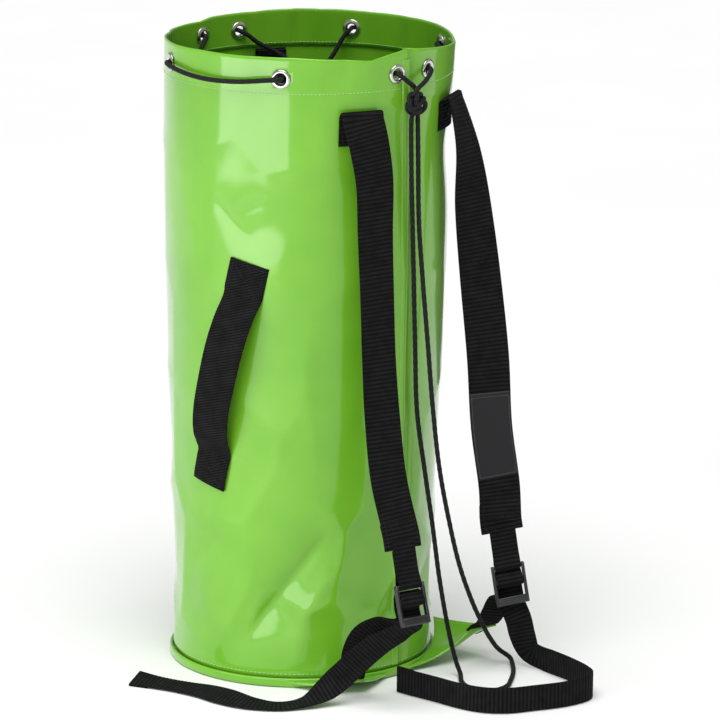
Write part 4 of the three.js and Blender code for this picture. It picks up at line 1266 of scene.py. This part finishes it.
def add_adjuster(name, side, lock, materials):
    """The narrow webbing below the lock: the anchor up from the tab, its wrap round the bar, and the tail."""
    across = lock_across(lock)
    held_anchor, wrapped, held_tail = (
        [(in_lock(lock, y, z), across, 0) for y, z in route]
        for route in (ANCHOR_IN_LOCK, WRAP_ROUTE, TAIL_IN_LOCK)
    )
    anchor, tail = (
        [(Vector((x, y, z)) * MM, Vector(direction), 0) for x, y, z, direction in side[part]]
        for part in ("anchor", "tail")
    )
    wrap = Webbing([*held_anchor[-2:], *wrapped, *held_tail[:2]], NARROW_WIDTH, NARROW_THICKNESS)
    piece = wrap.piece(f"{name}_wrap_webbing", materials["webbing"], f"{name}_lock")
    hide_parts(f"{name}_adjuster_wrap")

    rising = Webbing([*anchor, *held_anchor[:-1]], NARROW_WIDTH, NARROW_THICKNESS)
    at_strap = len(rising.along) - 1 - round(ANCHOR_CUT / WEB_STEP)
    low = Vector(side["tab_tip"]) * MM
    add_bending_run(name, "anchor", rising, at_strap, low, in_lock(lock, -16, -9.5), materials["webbing"])

    falling = Webbing([*held_tail, *tail], NARROW_WIDTH, NARROW_THICKNESS)
    at_strap = round(TAIL_CUT / WEB_STEP)
    turn = falling.centre[at_strap]
    low = Vector((turn[0], turn[1], TAIL_LIES_BELOW))
    add_bending_run(name, "tail", falling, at_strap, low, in_lock(lock, -38, -5), materials["webbing"])
    add_tail_end(name, falling, materials)


def add_bending_run(name, part, band, at_strap, in_bag, in_the_lock, material):
    """A run in two pieces: one from the bag to the strap, and the other from the strap to the lock."""
    count = len(band.along)
    first = (0, at_strap, (True, False))
    second = (at_strap, count - 1, (False, True))
    below, above = (first, second) if part == "anchor" else (second, first)
    for label, (start, end, caps), body, far in (
        ("lower", below, "bag", in_bag), ("upper", above, f"{name}_lock", in_the_lock),
    ):
        piece = band.cut(start, end).piece(f"{name}_{part}_{label}", material, caps=caps)
        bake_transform(piece)
        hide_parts(f"{name}_adjuster_{part}")


def add_tail_end(name, band, materials):
    """The tail's end, folded back on itself and sewn across."""
    side = -1 if name == "left" else 1
    layer = folded_end(band, TAIL_END_FOLD, 6, side)
    layer.piece(f"{name}_tail_fold", materials["webbing"], "bag")
    rows = layer.box_rows(0.002, layer.length - 0.003, 3 * MM, side=side, crossed=False)
    add_stitches(f"{name}_tail_stitches", rows, 2.6 * MM, materials["black_thread"])


def add_tab(name, side, materials):
    """A folded gusset of the bag's fabric from the base seam to the adjuster's end."""
    root_radius = BASE_RADIUS + 2.7 * MM
    root_height = 5 * MM
    tip = Vector(side["tab_tip"]) * MM
    tip_across = sideways(side["tab_tip_facing"])
    rows, columns = 18, 21

    def middle(u, v):
        seam_height = root_height + side["tab_rise"] * MM * v * v
        root = polar(side["tab_bearing"] + TAB_ARC * (v - 0.5), root_radius, seam_height)
        end = tip + tip_across * TAB_TIP_WIDTH * (v - 0.5)
        point = root.lerp(end, u)
        point.z = seam_height + (tip.z - seam_height) * u * u
        # The gusset's middle creases as it narrows.
        point.z += 2.4 * MM * math.sin(math.pi * u) * math.exp(-((v - 0.45) / 0.13) ** 2)
        return point

    grid = [[middle(u, v) for v in np.linspace(0, 1, columns)] for u in np.linspace(0, 1, rows)]
    vertices = [point for row in grid for point in row]
    tab = new_piece(
        f"{name}_tab_gusset", vertices, strip_faces(rows, columns), materials["tarpaulin"], "tarpaulin",
    )
    thicken = tab.modifiers.new("thickness", "SOLIDIFY")
    thicken.thickness = TAB_THICKNESS
    thicken.offset = 0
    soften = tab.modifiers.new("soften", "BEVEL")
    soften.width = 0.6 * MM
    soften.segments = 2
    apply_modifiers(tab)
    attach(tab, "bag")
    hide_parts(f"{name}_lower_tab")
    edges = [
        [middle(u, v) + Vector((0, 0, 1.3 * MM)) for u in np.linspace(0.05, 0.95, 20)] for v in (0.06, 0.94)
    ]
    across = [middle(0.86, v) + Vector((0, 0, 1.4 * MM)) for v in np.linspace(0.05, 0.95, 12)]
    add_stitches(
        f"{name}_tab_stitches", [*edges, across], 3.2 * MM, materials["green_thread"],
        slot="tarpaulin", radius=0.28 * MM,
    )


def add_label(strap, materials):
    """The blank woven label on the right strap, sewn across its top and bottom."""
    low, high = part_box("strap_label")
    middle_height = (low[2] + high[2]) / 2
    nearest = int(np.argmin(np.abs(strap.centre[:, 2] - middle_height)))
    half = round(LABEL_HALF_LENGTH / WEB_STEP)
    stations = [
        (strap.at(i, 0, STRAP_THICKNESS / 2 + 0.35 * MM), strap.across[i], 0)
        for i in range(nearest - half, nearest + half + 1, 9)
    ]
    label = Webbing(stations, LABEL_WIDTH, LABEL_THICKNESS, step=2 * MM)
    vertices, faces, uvs = label.mesh(rib_depth=0)
    piece = new_piece("blank_label", vertices, faces, materials["satin"], "label_satin", "right_strap", uvs)
    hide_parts("strap_label")
    rows = [
        [label.point(length, share, 0.3 * MM) for share in np.linspace(-0.46, 0.46, 10)]
        for length in (LABEL_MARGIN, label.length - LABEL_MARGIN)
    ]
    rows += [
        [label.point(length, share, 0.3 * MM) for length in np.linspace(3 * MM, label.length - 3 * MM, 20)]
        for share in (-0.46, 0.46)
    ]
    add_stitches(
        "label_stitches", rows, 2.2 * MM, materials["grey_thread"], "right_strap", "label_satin", 0.2 * MM,
    )


# Handle and tie-in loop -------------------------------------------------------------------------------------

def handle_stations():
    """Stations of the haul handle: flat where it is sewn, and a bow with a level middle between."""
    length = HANDLE_TOP[1] - HANDLE_BOTTOM[1]
    sewn = HANDLE_SEWN / length
    stations = []
    for share in np.linspace(0, 1, 29):
        along = min(max((share - sewn) / (1 - 2 * sewn), 0), 1)
        rise = HANDLE_BOW * (1 - abs(2 * along - 1) ** 3)
        bearing = HANDLE_TOP[0] + (HANDLE_BOTTOM[0] - HANDLE_TOP[0]) * share
        z = HANDLE_TOP[1] + (HANDLE_BOTTOM[1] - HANDLE_TOP[1]) * share
        calm = min(rise / 0.008, 1)
        at = on_skin(bearing, z, 1.5 * MM + rise) * (1 - calm) + on_bag(bearing, z, 1.5 * MM + rise) * calm
        stations.append((at, sideways(bearing), (1 - calm) / RIM_RADIUS))
    return stations


def add_handle(materials):
    """The haul handle in two halves that meet at its middle, each sewn to the bag at its far end."""
    band = Webbing(handle_stations(), STRAP_WIDTH, STRAP_THICKNESS)
    count = len(band.along)
    middle = count // 2
    margin, reach = 3 * MM, 31 * MM
    halves = (
        ("upper", 0, middle, (True, False), 0.17, (margin, reach)),
        ("lower", middle, count - 1, (False, True), 0.83, (band.length - reach, band.length - margin)),
    )
    for name, first, last, caps, sewn_share, sewn_box in halves:
        half = band.cut(first, last)
        piece = half.piece(
            f"haul_handle_{name}_half", materials["twill"], slant=TWILL_SLANT, pitch=TWILL_PITCH, caps=caps,
        )
        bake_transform(piece)
        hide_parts(f"haul_handle_{name}_end", "haul_handle")
        rows = band.box_rows(*sewn_box, 4 * MM)
        add_stitches(f"haul_handle_{name}_stitches", rows, 3 * MM, materials["black_thread"])


def add_tie_loop(materials):
    """Inside the back wall: webbing sewn under the hem, that hangs in a loop to tie the rope's end to."""
    inward = -outward(TIE_BEARING)
    across = sideways(TIE_BEARING)
    wall = [
        (on_skin(TIE_BEARING, z, -WALL - 1.2 * MM), across, 1 / RIM_RADIUS)
        for z in np.linspace(TIE_TOP, TIE_HANG + 2 * MM, 4)
    ]
    top = on_bag(TIE_BEARING, TIE_HANG, -WALL - 2.6 * MM)
    loop_shape = [
        (1.0, -8), (1.0, -24), (1.2, -46), (3.2, -58), (8, -66), (13, -68), (18, -65), (21.5, -57),
        (21.5, -44), (20, -28), (13, -14), (5, -4), (3.2, 2), (2.6, 12), (2.4, 19),
    ]
    loop = [(top + inward * x * MM + Vector((0, 0, z * MM)), across, 0) for x, z in loop_shape]
    band = Webbing([*wall, *loop], TIE_WIDTH, STRAP_THICKNESS)
    piece = band.piece("tie_in_webbing", materials["webbing"])
    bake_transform(piece)
    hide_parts("tie_loop_sewn_end", "tie_loop")
    rows = band.box_rows(band.length - 0.018, band.length - 0.002, 3 * MM)
    add_stitches("tie_in_stitches", rows, 3 * MM, materials["black_thread"])


# The whole bag ----------------------------------------------------------------------------------------------

def dress_base(material):
    """The base disc stays as the CAD has it, in the bag's fabric."""
    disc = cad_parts["base_disc"]
    for place in disc.material_slots:
        place.link = "OBJECT"
        place.material = material


def build():
    add_camera()
    add_drawcord()
    green = tarpaulin()
    materials = {
        "tarpaulin": green,
        # Each webbing's colours run from the painted shade in its rib grooves to its lighter rib crests.
        "webbing": webbing_weave(
            "webbing_ribbed", (0.002, 0.002, 0.002), (0.012, 0.012, 0.013), 0.0, RIB_PITCH,
        ),
        "twill": webbing_weave(
            "webbing_twill", (0.002, 0.002, 0.002), (0.014, 0.014, 0.015), TWILL_SLANT, TWILL_PITCH,
        ),
        "plastic": moulded_plastic(),
        "satin": label_satin(),
        "black_thread": thread("thread_black", (0.003, 0.003, 0.003), (0.016, 0.016, 0.018)),
        "grey_thread": thread("thread_grey", (0.05, 0.05, 0.055), (0.20, 0.20, 0.21)),
        "green_thread": thread("thread_green", (0.30, 0.55, 0.16), (0.52, 0.78, 0.36)),
    }
    add_body(green)
    add_seam_strip(green)
    add_welt(green)
    dress_base(green)
    add_eyelets(nickel_plate())
    add_body_stitches(materials["green_thread"])
    straps = {}
    for name, side in SIDES.items():
        straps[name] = add_strap(name, side, materials)
        add_tab(name, side, materials)
    add_label(straps["right"], materials)
    add_handle(materials)
    add_tie_loop(materials)
    add_floor()
    add_dark_card()
    add_lights()


build()
